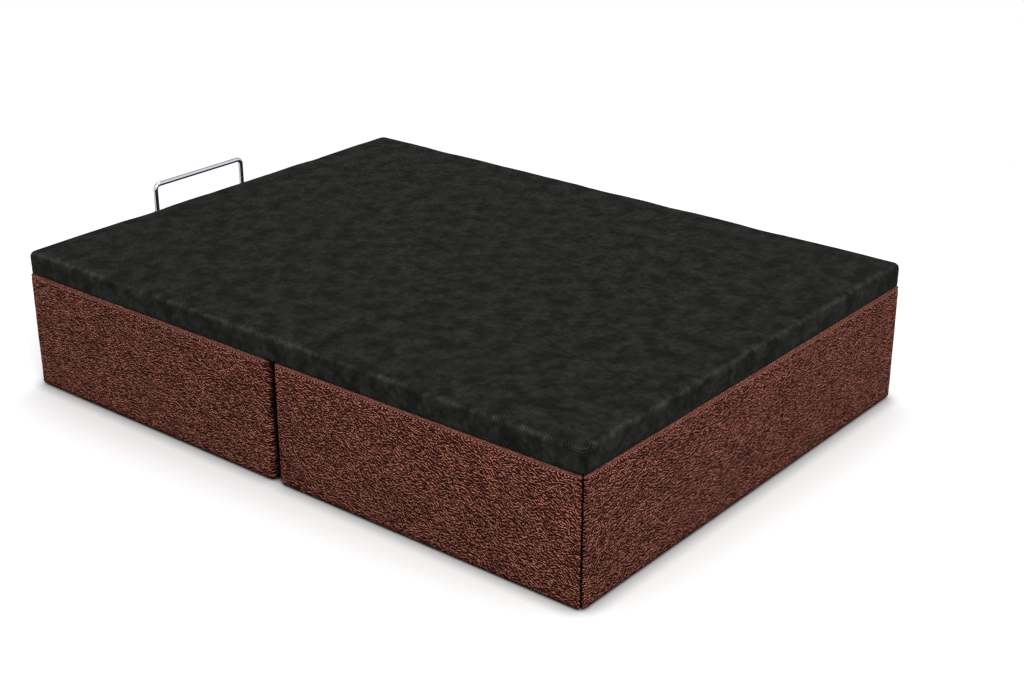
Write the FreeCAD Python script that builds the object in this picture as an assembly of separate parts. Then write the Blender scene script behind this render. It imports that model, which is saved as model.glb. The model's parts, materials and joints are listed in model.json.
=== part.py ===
import FreeCAD, Part
import math
import os

V = FreeCAD.Vector

# The bed stands on z = 0 with its head end at +Y, its foot end at -Y and its width along X.
# The origin lies on the floor under the middle of the whole outline, handle bar included.

# Overall sizes
bed_width = 1500.0
bed_length = 2000.0
rim_height = 351.0
split_gap = 20.0

# Upholstered panels: a board with padded fabric wrapped round all but its inner face
panel_board_thickness = 18.0
panel_padding = 12.0
panel_top_padding = 6.0
panel_bottom_fabric = 2.0
split_end_padding = 14.0
mitre_fabric = 2.0
mitre_gap = 0.6
panel_edge_chamfer = 3.0
split_edge_radius = 16.0
mitre_edge_radius = 4.0

# Glides under the panels and bearers
glide_radius = 9.0
glide_height = 4.0
glide_end_distance = 150.0

# Battens, bearers and floor boards of the storage space
batten_width = 20.0
batten_height = 20.0
batten_end_gap = 1.0
bearer_width = 60.0
bearer_count = 3
floor_thickness = 5.0
floor_side_gap = 1.0

# Corner angles
angle_leg = 45.0
angle_thickness = 2.0
angle_height = 220.0
angle_lift = 12.0

# Steel strips that join the two halves of each side across the split
strip_width = 120.0
strip_thickness = 3.0
strip_lift = 4.0
strip_top_drop = 12.0

# Rubber buffers on the rim
buffer_radius = 6.0
buffer_height = 1.7
buffer_shares = (0.06, 0.4, 0.8)

# Lid: fabric bag over foam over a board on a welded tube frame
lid_gap = 2.0
lid_inset = 2.0
lid_corner_radius = 22.0
lid_edge_chamfer = 11.0
lid_fabric = 2.5
lid_foam_top = 12.0
lid_foam_side = 5.0
lid_board_thickness = 6.0
frame_tube_width = 20.0
frame_tube_height = 40.0
frame_tube_wall = 1.5
cross_tube_width = 30.0
cross_tube_height = 20.0
cross_tube_count = 4

# Handle bar at the foot end, which also stops the mattress
bar_diameter = 14.0
bar_span = 350.0
bar_centre_x = 82.0
bar_rise = 78.0
bar_bend_radius = 16.0
socket_wall = 3.0
socket_plate_thickness = 3.0
socket_plate_width = 66.0
socket_plate_height = 46.0
socket_sleeve_height = 36.0
socket_floor = 3.0
socket_weld_sink = 1.5
socket_clearance = 0.1

# Lift linkage, seen from the side: (distance along the bed from the head face, height from the rim)
link_root = (-190.0, -39.0)
arm_root = (-400.0, -189.0)
link_tip = (-64.0, -19.5)
arm_tip = (-105.5, -76.0)
strut_root_run = -207.0
strut_root_lift = 32.0
strut_tip = (-109.0, -28.0)

# Layers of the linkage, measured from the inner face of the side panel towards the middle
base_plate_thickness = 3.0
lever_thickness = 5.0
lid_bracket_thickness = 4.0
layer_gap = 1.0
head_gap = 0.3

# Outlines of the linkage plates
arm_root_lobe = 19.0
arm_tip_lobe = 17.0
link_lobe = 13.0
base_arm_lobe = 27.0
base_link_lobe = 22.0
base_strut_lobe = 22.0
base_window_radius = 12.0
base_window_share = 0.42
pad_lobe = 6.0
pad_front = -160.0
pad_back = -48.0
pad_lobe_height = 36.0
pad_foot_height = 8.0
joggle_depth = 16.0
joggle_gap = 0.5
bracket_link_lobe = 14.0

# Pins of the linkage
pin_radius = 6.0
pin_rivet_radius = 8.0
pin_rivet_depth = 2.0
pin_head_radius = 9.0
pin_head_height = 2.2
bush_radius = 9.0
pin_clearance = 0.05
open_pivot_clearance = 1.0

# Gas struts
strut_gap = 1.0
tube_radius = 9.0
closed_gap = 12.0
rod_radius = 4.0
rod_engaged = 145.0
gland_clearance = 0.7
eye_radius = 9.0
eye_thickness = 8.0
eye_neck_radius = 3.8
eye_neck_length = 5.0
stud_radius = 4.0
stud_shoulder_radius = 7.0
stud_clip_radius = 6.5
stud_clip_thickness = 1.5

# Sides of the small drums, one overrun for every cut and how close two numbers count as equal
hexagon_sides = 6
glide_sides = 12
buffer_sides = 10
overrun = 1.0
same = 0.15

# Places worked out from the sizes above
panel_thickness = panel_board_thickness + panel_padding
half_width = bed_width / 2
inner_x = half_width - panel_thickness
board_outer_x = half_width - panel_padding
sleeve_radius = bar_diameter / 2 + socket_clearance + socket_wall
bar_overhang = socket_plate_thickness + 2 * sleeve_radius - socket_weld_sink - lid_inset
head_face_y = (bed_length + bar_overhang) / 2
foot_face_y = head_face_y - bed_length
bed_centre_y = (head_face_y + foot_face_y) / 2
inner_head_y = head_face_y - panel_thickness

floor_z = glide_height + batten_height
floor_top_z = floor_z + floor_thickness

strut_root = (strut_root_run, floor_top_z + strut_root_lift - rim_height)

lid_bottom_z = rim_height + lid_gap
frame_z = lid_bottom_z + lid_fabric
board_z = frame_z + frame_tube_height
foam_z = board_z + lid_board_thickness
foam_top_z = foam_z + lid_foam_top
lid_top_z = foam_top_z + lid_fabric
lid_half_width = half_width - lid_inset
frame_inset = lid_fabric + lid_foam_side
frame_half_width = lid_half_width - frame_inset
frame_inner_x = frame_half_width - frame_tube_width
lid_head_y = head_face_y - lid_inset
lid_foot_y = foot_face_y + lid_inset

lever_link_depth = base_plate_thickness + layer_gap
lever_arm_depth = lever_link_depth + lever_thickness + layer_gap
bracket_depth = lever_arm_depth + lever_thickness + layer_gap
bracket_face_depth = bracket_depth + lid_bracket_thickness
strut_depth = bracket_face_depth + strut_gap + tube_radius
eye_start_depth = strut_depth - eye_thickness / 2
eye_end_depth = strut_depth + eye_thickness / 2


def box(x0, x1, y0, y1, z0, z1):
    return Part.makeBox(x1 - x0, y1 - y0, z1 - z0, V(x0, y0, z0))


def prism(points, z0, z1):
    corners = [V(x, y, z0) for x, y in points]
    face = Part.Face(Part.makePolygon(corners + corners[:1]))
    return face.extrude(V(0, 0, z1 - z0))


def group(solids):
    return Part.makeCompound(solids)


def other_side(shape):
    """The same shape on the other long side of the bed."""
    return shape.mirror(V(0, 0, 0), V(1, 0, 0))


def other_end(shape):
    """The same shape at the other end of the box."""
    return shape.mirror(V(0, bed_centre_y, 0), V(0, 1, 0))


def both_sides(shape):
    return [shape, other_side(shape)]


def four_corners(shape):
    return both_sides(shape) + both_sides(other_end(shape))


def near(a, b):
    return abs(a - b) < same


def level_edges(shape, z):
    """Edges that lie flat at the height z."""
    return [e for e in shape.Edges if near(e.BoundBox.ZMin, z) and near(e.BoundBox.ZMax, z)]


def upright_edge(shape, x, y):
    """The upright edge that stands at x, y."""
    return [
        e for e in shape.Edges
        if near(e.BoundBox.XMin, x) and near(e.BoundBox.XMax, x)
        and near(e.BoundBox.YMin, y) and near(e.BoundBox.YMax, y)
    ]


def rounded_block(half_x, y0, y1, z0, z1, corner_radius):
    """A flat block with rounded upright corners."""
    block = box(-half_x, half_x, y0, y1, z0, z1)
    if corner_radius <= 0:
        return block
    corners = [(sx * half_x, y) for sx in (-1, 1) for y in (y0, y1)]
    edges = [upright_edge(block, x, y)[0] for x, y in corners]
    return block.makeFillet(corner_radius, edges)


def drum(radius, z0, z1, sides):
    """An upright bar with many flat sides, round its own axis."""
    angles = [math.tau * i / sides for i in range(sides)]
    return prism([(radius * math.cos(a), radius * math.sin(a)) for a in angles], z0, z1)


def aimed(shape, place, direction):
    """A shape built along +Z from the origin, moved to place and turned to direction."""
    turned = shape.copy()
    turned.Placement = FreeCAD.Placement(place, FreeCAD.Rotation(V(0, 0, 1), direction))
    return turned


# Panels of the box


def panel_prism(points, split_corner, mitre_corners):
    """The padded outline of a panel with its soft edges rounded."""
    body = prism(points, glide_height, rim_height)
    if split_corner:
        body = body.makeFillet(split_edge_radius, upright_edge(body, *split_corner))
    for corner in mitre_corners:
        body = body.makeFillet(mitre_edge_radius, upright_edge(body, *corner))
    edges = level_edges(body, rim_height)
    outer = [e for e in level_edges(body, glide_height) if not near(inner_distance(e), 0)]
    return body.makeChamfer(panel_edge_chamfer, edges + outer)


def inner_distance(edge):
    """How far an edge's middle stands outside the inner rectangle of the box."""
    middle = edge.BoundBox.Center
    return max(abs(middle.x) - inner_x, middle.y - inner_head_y)


def side_panel_half():
    """Cover and board of the head half of the right side, mitred at the head corner."""
    split_y = bed_centre_y + split_gap / 2
    outline = [
        (half_width, split_y),
        (half_width, head_face_y - mitre_gap),
        (inner_x, inner_head_y - mitre_gap),
        (inner_x, split_y),
    ]
    shift = mitre_gap + mitre_fabric * math.sqrt(2)
    board_outline = [
        (board_outer_x, split_y + split_end_padding),
        (board_outer_x, head_face_y - panel_padding - shift),
        (inner_x, inner_head_y - shift),
        (inner_x, split_y + split_end_padding),
    ]
    return wrapped(outline, board_outline, outline[0], outline[1:2])


def end_panel():
    """Cover and board of the head end, mitred at both corners."""
    outline = [
        (-half_width + mitre_gap, head_face_y),
        (half_width - mitre_gap, head_face_y),
        (inner_x - mitre_gap, inner_head_y),
        (-inner_x + mitre_gap, inner_head_y),
    ]
    shift = mitre_gap + mitre_fabric * math.sqrt(2)
    board_y = head_face_y - panel_padding
    board_outline = [
        (-board_outer_x + shift, board_y),
        (board_outer_x - shift, board_y),
        (inner_x - shift, inner_head_y),
        (-inner_x + shift, inner_head_y),
    ]
    return wrapped(outline, board_outline, None, outline[:2])


def wrapped(outline, board_outline, split_corner, mitre_corners):
    """A board and the padded fabric round it, which leaves its inner face bare."""
    board = prism(board_outline, glide_height + panel_bottom_fabric, rim_height - panel_top_padding)
    cover = panel_prism(outline, split_corner, mitre_corners).cut(board)
    return cover, board


# Inside of the box


def corner_angle():
    """Steel angle in the right head corner."""
    low = floor_top_z + angle_lift
    high = low + angle_height
    outer = box(inner_x - angle_leg, inner_x, inner_head_y - angle_leg, inner_head_y, low, high)
    inside = box(
        inner_x - angle_leg - overrun, inner_x - angle_thickness,
        inner_head_y - angle_leg - overrun, inner_head_y - angle_thickness,
        low - overrun, high + overrun,
    )
    return outer.cut(inside)


def joining_strip():
    """Steel strip behind the split of the right side."""
    return box(
        inner_x - strip_thickness, inner_x,
        bed_centre_y - strip_width / 2, bed_centre_y + strip_width / 2,
        floor_top_z + strip_lift, rim_height - strip_top_drop,
    )


def side_batten():
    """Batten along the foot of the head half of the right side."""
    return box(
        inner_x - batten_width, inner_x,
        bed_centre_y + split_gap / 2 + split_end_padding, inner_head_y - batten_width - batten_end_gap,
        glide_height, floor_z,
    )


def end_batten():
    reach = inner_x - batten_end_gap
    return box(-reach, reach, inner_head_y - batten_width, inner_head_y, glide_height, floor_z)


def bearers():
    """Cross bearers under the floor, evenly spread along the bed."""
    reach = inner_x - batten_width - batten_end_gap
    pitch = bed_length / (bearer_count + 1)
    middles = [foot_face_y + pitch * (i + 1) for i in range(bearer_count)]
    half = bearer_width / 2
    return [box(-reach, reach, y - half, y + half, glide_height, floor_z) for y in middles]


def floor_board():
    """Floor board of the head half."""
    reach = inner_x - floor_side_gap
    return box(
        -reach, reach, bed_centre_y + floor_side_gap / 2, inner_head_y - floor_side_gap, floor_z, floor_top_z
    )


def glide(x, y):
    return aimed(drum(glide_radius, 0, glide_height, glide_sides), V(x, y, 0), V(0, 0, 1))


def glides():
    """Glides under the side panels, the end panels and the cross bearers."""
    side_x = inner_x + panel_board_thickness / 2
    end_y = inner_head_y + panel_board_thickness / 2
    split_end_y = bed_centre_y + glide_end_distance
    discs = four_corners(glide(side_x, head_face_y - glide_end_distance))
    discs += four_corners(glide(side_x, split_end_y))
    discs += [glide(0, end_y), other_end(glide(0, end_y))]
    discs += [glide(0, bearer.BoundBox.Center.y) for bearer in bearers()]
    return group(discs)


def rim_buffers():
    x = half_width - panel_thickness / 2
    discs = []
    for share in buffer_shares:
        y = foot_face_y + share * bed_length
        disc = drum(buffer_radius, 0, buffer_height, buffer_sides)
        discs += both_sides(aimed(disc, V(x, y, rim_height), V(0, 0, 1)))
    return group(discs)


# Lid


def lid_corner(inset):
    """Plan radius of the lid's corners at a distance inside its outer face."""
    return lid_corner_radius - inset


def lid_block(inset, z0, z1):
    return rounded_block(
        lid_half_width - inset, lid_foot_y + inset, lid_head_y - inset, z0, z1, lid_corner(inset)
    )


def lid_core():
    """Everything inside the lid's fabric, with a slanting top edge that keeps the fabric even."""
    block = lid_block(lid_fabric, frame_z, foam_top_z)
    chamfer = lid_edge_chamfer - lid_fabric * (2 - math.sqrt(2))
    return block.makeChamfer(chamfer, level_edges(block, foam_top_z))


def lid_window():
    """The open underside inside the tube frame."""
    inset = frame_inset + frame_tube_width
    return lid_block(inset, lid_bottom_z - overrun, frame_z + overrun)


def lid_cover():
    bag = lid_block(0, lid_bottom_z, lid_top_z)
    bag = bag.makeChamfer(lid_edge_chamfer, level_edges(bag, lid_top_z))
    return bag.cut(lid_core()).cut(lid_window())


def lid_foam():
    return lid_core().cut(lid_block(frame_inset, frame_z, foam_z))


def lid_board():
    return lid_block(frame_inset, board_z, foam_z)


def lid_ring():
    """The tube frame as one hollow ring."""
    outer = lid_block(frame_inset, frame_z, board_z)
    hollow_inset = frame_inset + frame_tube_wall
    far_inset = frame_inset + frame_tube_width
    ring = outer.cut(lid_block(far_inset, frame_z - overrun, board_z + overrun))
    hollow = lid_block(hollow_inset, frame_z + frame_tube_wall, board_z - frame_tube_wall)
    core = lid_block(far_inset - frame_tube_wall, frame_z - overrun, board_z + overrun)
    return ring.cut(hollow.cut(core))


def ring_cutter():
    """A triangle from the head edge towards the middle that takes the head tube out of the ring."""
    y = lid_head_y - frame_inset
    x = frame_half_width
    depth = 2 * frame_tube_width
    points = [(-x, y), (x, y), (x - depth, y - depth), (-x + depth, y - depth)]
    return prism(points, frame_z - overrun, board_z + overrun)


def frame_tubes():
    """Head, foot, right and left tubes of the ring, mitred at its corners."""
    ring = lid_ring()
    head_cut = ring_cutter()
    foot_cut = other_end(head_cut)
    head = ring.common(head_cut)
    foot = ring.common(foot_cut)
    sides = ring.cut(head_cut).cut(foot_cut).Solids
    right = [s for s in sides if s.BoundBox.Center.x > 0][0]
    left = [s for s in sides if s.BoundBox.Center.x < 0][0]
    return head, foot, right, left


def cross_tubes():
    top = board_z
    low = board_z - cross_tube_height
    start = lid_foot_y + frame_inset
    pitch = (lid_head_y - frame_inset - start) / (cross_tube_count + 1)
    tubes = []
    for i in range(cross_tube_count):
        y = start + pitch * (i + 1)
        y0 = y - cross_tube_width / 2
        y1 = y + cross_tube_width / 2
        outer = box(-frame_inner_x, frame_inner_x, y0, y1, low, top)
        wall = frame_tube_wall
        inside = box(
            -frame_inner_x - overrun, frame_inner_x + overrun, y0 + wall, y1 - wall, low + wall, top - wall
        )
        tubes.append(outer.cut(inside))
    return group(tubes)


# Handle bar


def bar_leg_y():
    return lid_foot_y - socket_plate_thickness - sleeve_radius + socket_weld_sink


def socket_z_range():
    low = lid_bottom_z + (lid_top_z - lid_bottom_z - socket_plate_height) / 2
    return low, low + socket_plate_height


def sleeve_z():
    low, high = socket_z_range()
    return (low + high - socket_sleeve_height) / 2


def leg_x(side):
    return bar_centre_x + side * bar_span / 2


def stop_bar():
    """One bent rod: up from the right socket, across and down into the left one."""
    y = bar_leg_y()
    low = sleeve_z() + socket_floor
    top = lid_top_z + bar_rise - bar_diameter / 2
    r = bar_bend_radius
    right = leg_x(1)
    left = leg_x(-1)
    bend = r * (1 - math.sqrt(0.5))
    edges = [
        Part.makeLine(V(right, y, low), V(right, y, top - r)),
        Part.Arc(V(right, y, top - r), V(right - bend, y, top - bend), V(right - r, y, top)).toShape(),
        Part.makeLine(V(right - r, y, top), V(left + r, y, top)),
        Part.Arc(V(left + r, y, top), V(left + bend, y, top - bend), V(left, y, top - r)).toShape(),
        Part.makeLine(V(left, y, top - r), V(left, y, low)),
    ]
    section = Part.Wire(Part.makeCircle(bar_diameter / 2, V(right, y, low), V(0, 0, 1)))
    return Part.Wire(edges).makePipeShell([section], True, False)


def bar_socket(side):
    """Plate with a welded sleeve that holds one leg of the bar."""
    x = leg_x(side)
    low, high = socket_z_range()
    plate = box(
        x - socket_plate_width / 2, x + socket_plate_width / 2,
        lid_foot_y - socket_plate_thickness, lid_foot_y, low, high,
    )
    base = V(x, bar_leg_y(), sleeve_z())
    sleeve = Part.makeCylinder(sleeve_radius, socket_sleeve_height, base)
    bore = Part.makeCylinder(
        bar_diameter / 2 + socket_clearance, socket_sleeve_height, base + V(0, 0, socket_floor)
    )
    return plate.fuse(sleeve).cut(bore)


# Lift linkage, built on the right side


def place(point, depth):
    """The row position of a linkage point at a depth inside the right side panel."""
    return V(inner_x - depth, head_face_y + point[0], rim_height + point[1])


def between(a, b, share):
    return (a[0] + share * (b[0] - a[0]), a[1] + share * (b[1] - a[1]))


def disc(point, radius, start, end):
    """A round piece across the layers from one depth to another."""
    return Part.makeCylinder(radius, end - start, place(point, end), V(1, 0, 0))


def hexagon(point, radius, start, end):
    """A six-sided head or collar across the layers."""
    return aimed(drum(radius, 0, end - start, hexagon_sides), place(point, end), V(1, 0, 0))


def cone(point, start_radius, end_radius, start, end):
    return Part.makeCone(end_radius, start_radius, end - start, place(point, end), V(1, 0, 0))


def plate(lobes, start, end):
    """A plate whose outline wraps round lobes (along, up, radius), listed anticlockwise from the side."""
    count = len(lobes)
    normals = []
    for i in range(count):
        a, b = lobes[i], lobes[(i + 1) % count]
        run, rise = b[0] - a[0], b[1] - a[1]
        length = math.hypot(run, rise)
        lean = (a[2] - b[2]) / length
        normals.append(math.atan2(rise, run) - math.acos(lean))
    edges = []
    for i in range(count):
        here, after = lobes[i], lobes[(i + 1) % count]
        before = normals[i - 1]
        sweep = (normals[i] - before) % (2 * math.pi)
        rim = [lobe_point(here, before + sweep * share, end) for share in (0, 0.5, 1)]
        edges.append(Part.Arc(*rim).toShape())
        edges.append(Part.makeLine(rim[2], lobe_point(after, normals[i], end)))
    face = Part.Face(Part.Wire(edges))
    return face.extrude(V(end - start, 0, 0))


def lobe_point(lobe, angle, depth):
    return place((lobe[0] + lobe[2] * math.cos(angle), lobe[1] + lobe[2] * math.sin(angle)), depth)


def base_plate():
    """Three-cornered plate on the side panel that carries the arm, the link and the strut."""
    lobes = [arm_root + (base_arm_lobe,), strut_root + (base_strut_lobe,), link_root + (base_link_lobe,)]
    body = plate(lobes, 0, base_plate_thickness)
    corners = [arm_root, strut_root, link_root]
    centre = tuple(sum(c[i] for c in corners) / len(corners) for i in (0, 1))
    window = [between(centre, c, base_window_share) + (base_window_radius,) for c in corners]
    body = body.cut(plate(window, -overrun, base_plate_thickness + overrun))
    for point in corners:
        body = body.cut(hexagon(point, pin_radius + pin_clearance, -overrun, base_plate_thickness + overrun))
    return body


def lift_arm():
    """Long arm between the base plate and the lid bracket."""
    start, end = lever_arm_depth, lever_arm_depth + lever_thickness
    body = plate([arm_root + (arm_root_lobe,), arm_tip + (arm_tip_lobe,)], start, end)
    body = body.cut(disc(arm_root, pin_radius + pin_clearance, start - overrun, end + overrun))
    body = body.cut(disc(arm_tip, pin_radius + pin_clearance, start - overrun, end + overrun))
    sink = rivet_cone(arm_tip, start, pin_clearance, True)
    return body.cut(sink)


def rear_link():
    """Short link behind the arm, with a loose eye at its lid end."""
    start, end = lever_link_depth, lever_link_depth + lever_thickness
    body = plate([link_root + (link_lobe,), link_tip + (link_lobe,)], start, end)
    body = body.cut(disc(link_root, pin_radius + pin_clearance, start - overrun, end + overrun))
    body = body.cut(disc(link_tip, pin_radius + open_pivot_clearance, start - overrun, end + overrun))
    sink = rivet_cone(link_root, end, pin_clearance, False)
    return body.cut(sink)


def rivet_cone(point, face, clearance, towards_panel):
    """The flush conical head of a rivet whose flat end lies in the face depth."""
    wide = pin_rivet_radius + clearance
    narrow = pin_radius + clearance
    if towards_panel:
        return cone(point, wide, narrow, face, face + pin_rivet_depth)
    return cone(point, narrow, wide, face - pin_rivet_depth, face)


def fused(shapes):
    return shapes[0].multiFuse(shapes[1:])


def base_pins():
    """Rivet of the rear link and headed pin of the arm, both with a six-sided neck in the base plate."""
    neck = (0, base_plate_thickness)
    link_seat = lever_link_depth - head_gap
    link_end = lever_link_depth + lever_thickness
    link_pin = [
        hexagon(link_root, pin_radius, *neck),
        hexagon(link_root, bush_radius, base_plate_thickness, link_seat),
        disc(link_root, pin_radius, link_seat, link_end),
        rivet_cone(link_root, link_end, 0, False),
    ]
    arm_seat = lever_arm_depth - head_gap
    arm_end = lever_arm_depth + lever_thickness + head_gap
    arm_pin = [
        hexagon(arm_root, pin_radius, *neck),
        hexagon(arm_root, bush_radius, base_plate_thickness, arm_seat),
        disc(arm_root, pin_radius, arm_seat, arm_end),
        hexagon(arm_root, pin_head_radius, arm_end, arm_end + pin_head_height),
    ]
    return group([fused(link_pin), fused(arm_pin)])


def bracket_pins():
    """Pins of the link and of the arm, both with a six-sided neck in the lid bracket."""
    neck = (bracket_depth, bracket_face_depth)
    head_end = lever_link_depth - head_gap
    link_seat = lever_link_depth + lever_thickness + head_gap
    link_pin = [
        hexagon(link_tip, pin_head_radius, head_end - pin_head_height, head_end),
        disc(link_tip, pin_radius, head_end, link_seat),
        hexagon(link_tip, bush_radius, link_seat, bracket_depth),
        hexagon(link_tip, pin_radius, *neck),
    ]
    arm_seat = lever_arm_depth + lever_thickness + head_gap
    arm_pin = [
        rivet_cone(arm_tip, lever_arm_depth, 0, True),
        disc(arm_tip, pin_radius, lever_arm_depth, arm_seat),
        hexagon(arm_tip, bush_radius, arm_seat, bracket_depth),
        hexagon(arm_tip, pin_radius, *neck),
    ]
    return group([fused(link_pin), fused(arm_pin)])


def pad_top():
    return lid_gap + lid_fabric + pad_lobe_height


def bracket_strip():
    """The bent section of the lid bracket: a pad on the lid tube, a joggle and a hanging leg."""
    t = lid_bracket_thickness
    pad = joggle_gap
    leg = bracket_depth
    top = pad_top() + pad_lobe
    foot = pad_foot_height
    low = foot - joggle_depth
    bottom = arm_tip[1] - arm_tip_lobe
    slope = t * math.tan(math.pi / 8)
    corners = [
        (pad, top), (pad, foot), (leg, low), (leg, bottom), (leg + t, bottom), (leg + t, low + slope),
        (pad + t, foot + slope), (pad + t, top),
    ]
    start = pad_front - pad_lobe
    length = pad_back + pad_lobe - start
    outline = [place((start, z), depth) for depth, z in corners]
    face = Part.Face(Part.makePolygon(outline + outline[:1]))
    reach = link_tip[0] + bracket_link_lobe - start
    return face.extrude(V(0, max(length, reach), 0))


def lid_bracket():
    """Plate that hangs from the lid's side tube and carries the link, the arm and the strut."""
    height = pad_top() - pad_lobe
    lobes = [
        arm_tip + (arm_tip_lobe,),
        link_tip + (bracket_link_lobe,),
        (pad_back, height, pad_lobe),
        (pad_front, height, pad_lobe),
    ]
    body = bracket_strip().common(plate(lobes, -overrun, bracket_face_depth + overrun))
    for point in (arm_tip, link_tip):
        body = body.cut(hexagon(point, pin_radius + pin_clearance, 0, bracket_face_depth + overrun))
    return body.cut(hexagon(strut_tip, stud_radius + pin_clearance, 0, bracket_face_depth + overrun))


def strut_angle():
    return math.atan2(strut_tip[1] - strut_root[1], strut_tip[0] - strut_root[0])


def strut_length():
    return math.hypot(strut_tip[1] - strut_root[1], strut_tip[0] - strut_root[0])


def strut_direction():
    return V(0, math.cos(strut_angle()), math.sin(strut_angle()))


def on_strut(distance):
    """The point on the strut's axis at a distance from its lower eye."""
    return place(strut_root, strut_depth) + strut_direction() * distance


def along_strut(radius, start, end):
    """A round piece on the strut's axis between two distances."""
    return Part.makeCylinder(radius, end - start, on_strut(start), strut_direction())


def eye(point, start, end):
    """The eye of a strut end with its six-sided neck, bored for its stud."""
    neck = aimed(drum(eye_neck_radius, 0, end - start, hexagon_sides), on_strut(start), strut_direction())
    bore = disc(point, stud_radius + pin_clearance, eye_start_depth - overrun, eye_end_depth + overrun)
    return disc(point, eye_radius, eye_start_depth, eye_end_depth).fuse(neck).cut(bore)


def neck_reach():
    """Distance from the middle of an eye to the far end of its neck."""
    return eye_radius + eye_neck_length


def tube_end():
    """End of the pressure tube, a gap short of the upper eye's neck in the closed strut."""
    return strut_length() - neck_reach() - closed_gap


def strut_tube():
    """Pressure tube with its lower eye and the bore that the rod slides in."""
    body = along_strut(tube_radius, neck_reach(), tube_end())
    bore_start = tube_end() - rod_engaged - closed_gap
    bore = along_strut(rod_radius + gland_clearance, bore_start, tube_end() + overrun)
    return body.cut(bore).fuse(eye(strut_root, eye_radius / 2, neck_reach()))


def strut_rod():
    """Piston rod with its upper eye."""
    end = strut_length()
    rod = along_strut(rod_radius, tube_end() - rod_engaged, end - neck_reach())
    return rod.fuse(eye(strut_tip, end - neck_reach(), end - eye_radius / 2))


def strut_stud(point, neck_radius, root, face):
    """Stud through a strut eye, with a six-sided neck in its plate, a shoulder and a clip."""
    eye_seat = eye_start_depth - head_gap
    clip_start = eye_end_depth + head_gap
    return fused([
        hexagon(point, neck_radius, root, face),
        hexagon(point, stud_shoulder_radius, face, eye_seat),
        disc(point, stud_radius, eye_seat, clip_start),
        hexagon(point, stud_clip_radius, clip_start, clip_start + stud_clip_thickness),
    ])


def strut_base_stud():
    return strut_stud(strut_root, pin_radius, 0, base_plate_thickness)


def strut_lid_stud():
    return strut_stud(strut_tip, stud_radius, bracket_depth, bracket_face_depth)


def build():
    """Every piece of the bed, by name."""
    pieces = {}
    cover, board = side_panel_half()
    for layer, piece in (("cover", cover), ("board", board)):
        pieces[f"side_{layer}_head_right"] = piece
        pieces[f"side_{layer}_head_left"] = other_side(piece)
        pieces[f"side_{layer}_foot_right"] = other_end(piece)
        pieces[f"side_{layer}_foot_left"] = other_side(other_end(piece))
    cover, board = end_panel()
    for layer, piece in (("cover", cover), ("board", board)):
        pieces[f"head_{layer}"] = piece
        pieces[f"foot_{layer}"] = other_end(piece)

    pieces["corner_angles"] = group(four_corners(corner_angle()))
    pieces["joining_strips"] = group(both_sides(joining_strip()))
    pieces["side_battens"] = group(four_corners(side_batten()))
    pieces["end_battens"] = group([end_batten(), other_end(end_batten())])
    pieces["floor_bearers"] = group(bearers())
    pieces["floor_board_head"] = floor_board()
    pieces["floor_board_foot"] = other_end(floor_board())
    pieces["glide_feet"] = glides()
    pieces["rim_buffers"] = rim_buffers()

    head, foot, right, left = frame_tubes()
    pieces["lid_head_tube"] = head
    pieces["lid_foot_tube"] = foot
    pieces["lid_side_tube_right"] = right
    pieces["lid_side_tube_left"] = left
    pieces["lid_cross_tubes"] = cross_tubes()
    pieces["lid_board"] = lid_board()
    pieces["lid_foam"] = lid_foam()
    pieces["lid_cover"] = lid_cover()
    pieces["stop_bar"] = stop_bar()
    pieces["bar_sockets"] = group([bar_socket(side) for side in (-1, 1)])

    fixed_pins = {"base_pins": base_pins(), "bracket_pins": bracket_pins()}
    for name, pins in fixed_pins.items():
        pieces[name] = group(both_sides(pins))
    linkage = {
        "base_plate": base_plate(),
        "strut_base_stud": strut_base_stud(),
        "lift_arm": lift_arm(),
        "rear_link": rear_link(),
        "lid_bracket": lid_bracket(),
        "strut_lid_stud": strut_lid_stud(),
        "strut_tube": strut_tube(),
        "strut_rod": strut_rod(),
    }
    for name, piece in linkage.items():
        pieces[name + "_right"] = piece
        pieces[name + "_left"] = other_side(piece)
    return pieces


os.makedirs("parts", exist_ok=True)
for name, piece in build().items():
    piece.exportStep(os.path.join("parts", name + ".step"))
    size = piece.BoundBox
    print(f"{name}: {len(piece.Solids)} solids, {piece.Volume / 1000:.2f} cm3, valid {piece.isValid()},"
          f" z {size.ZMin:.1f} to {size.ZMax:.1f}")
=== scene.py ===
# %% [markdown]
# # An upholstered storage bed
#
# The bed base is a low box wrapped in red-brown chenille, closed by a padded black lid that
# swings up on a pair of lift arms. Its solids come from CAD and arrive here as a fixed frame.
# This lesson dresses them: it replaces every piece of cloth by a modelled one, gives each hard
# piece its finish, adds the small fasteners, and sets up the studio.

# %% Load the frame
import bpy
import bmesh
import json
import math
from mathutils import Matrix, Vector, noise

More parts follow.
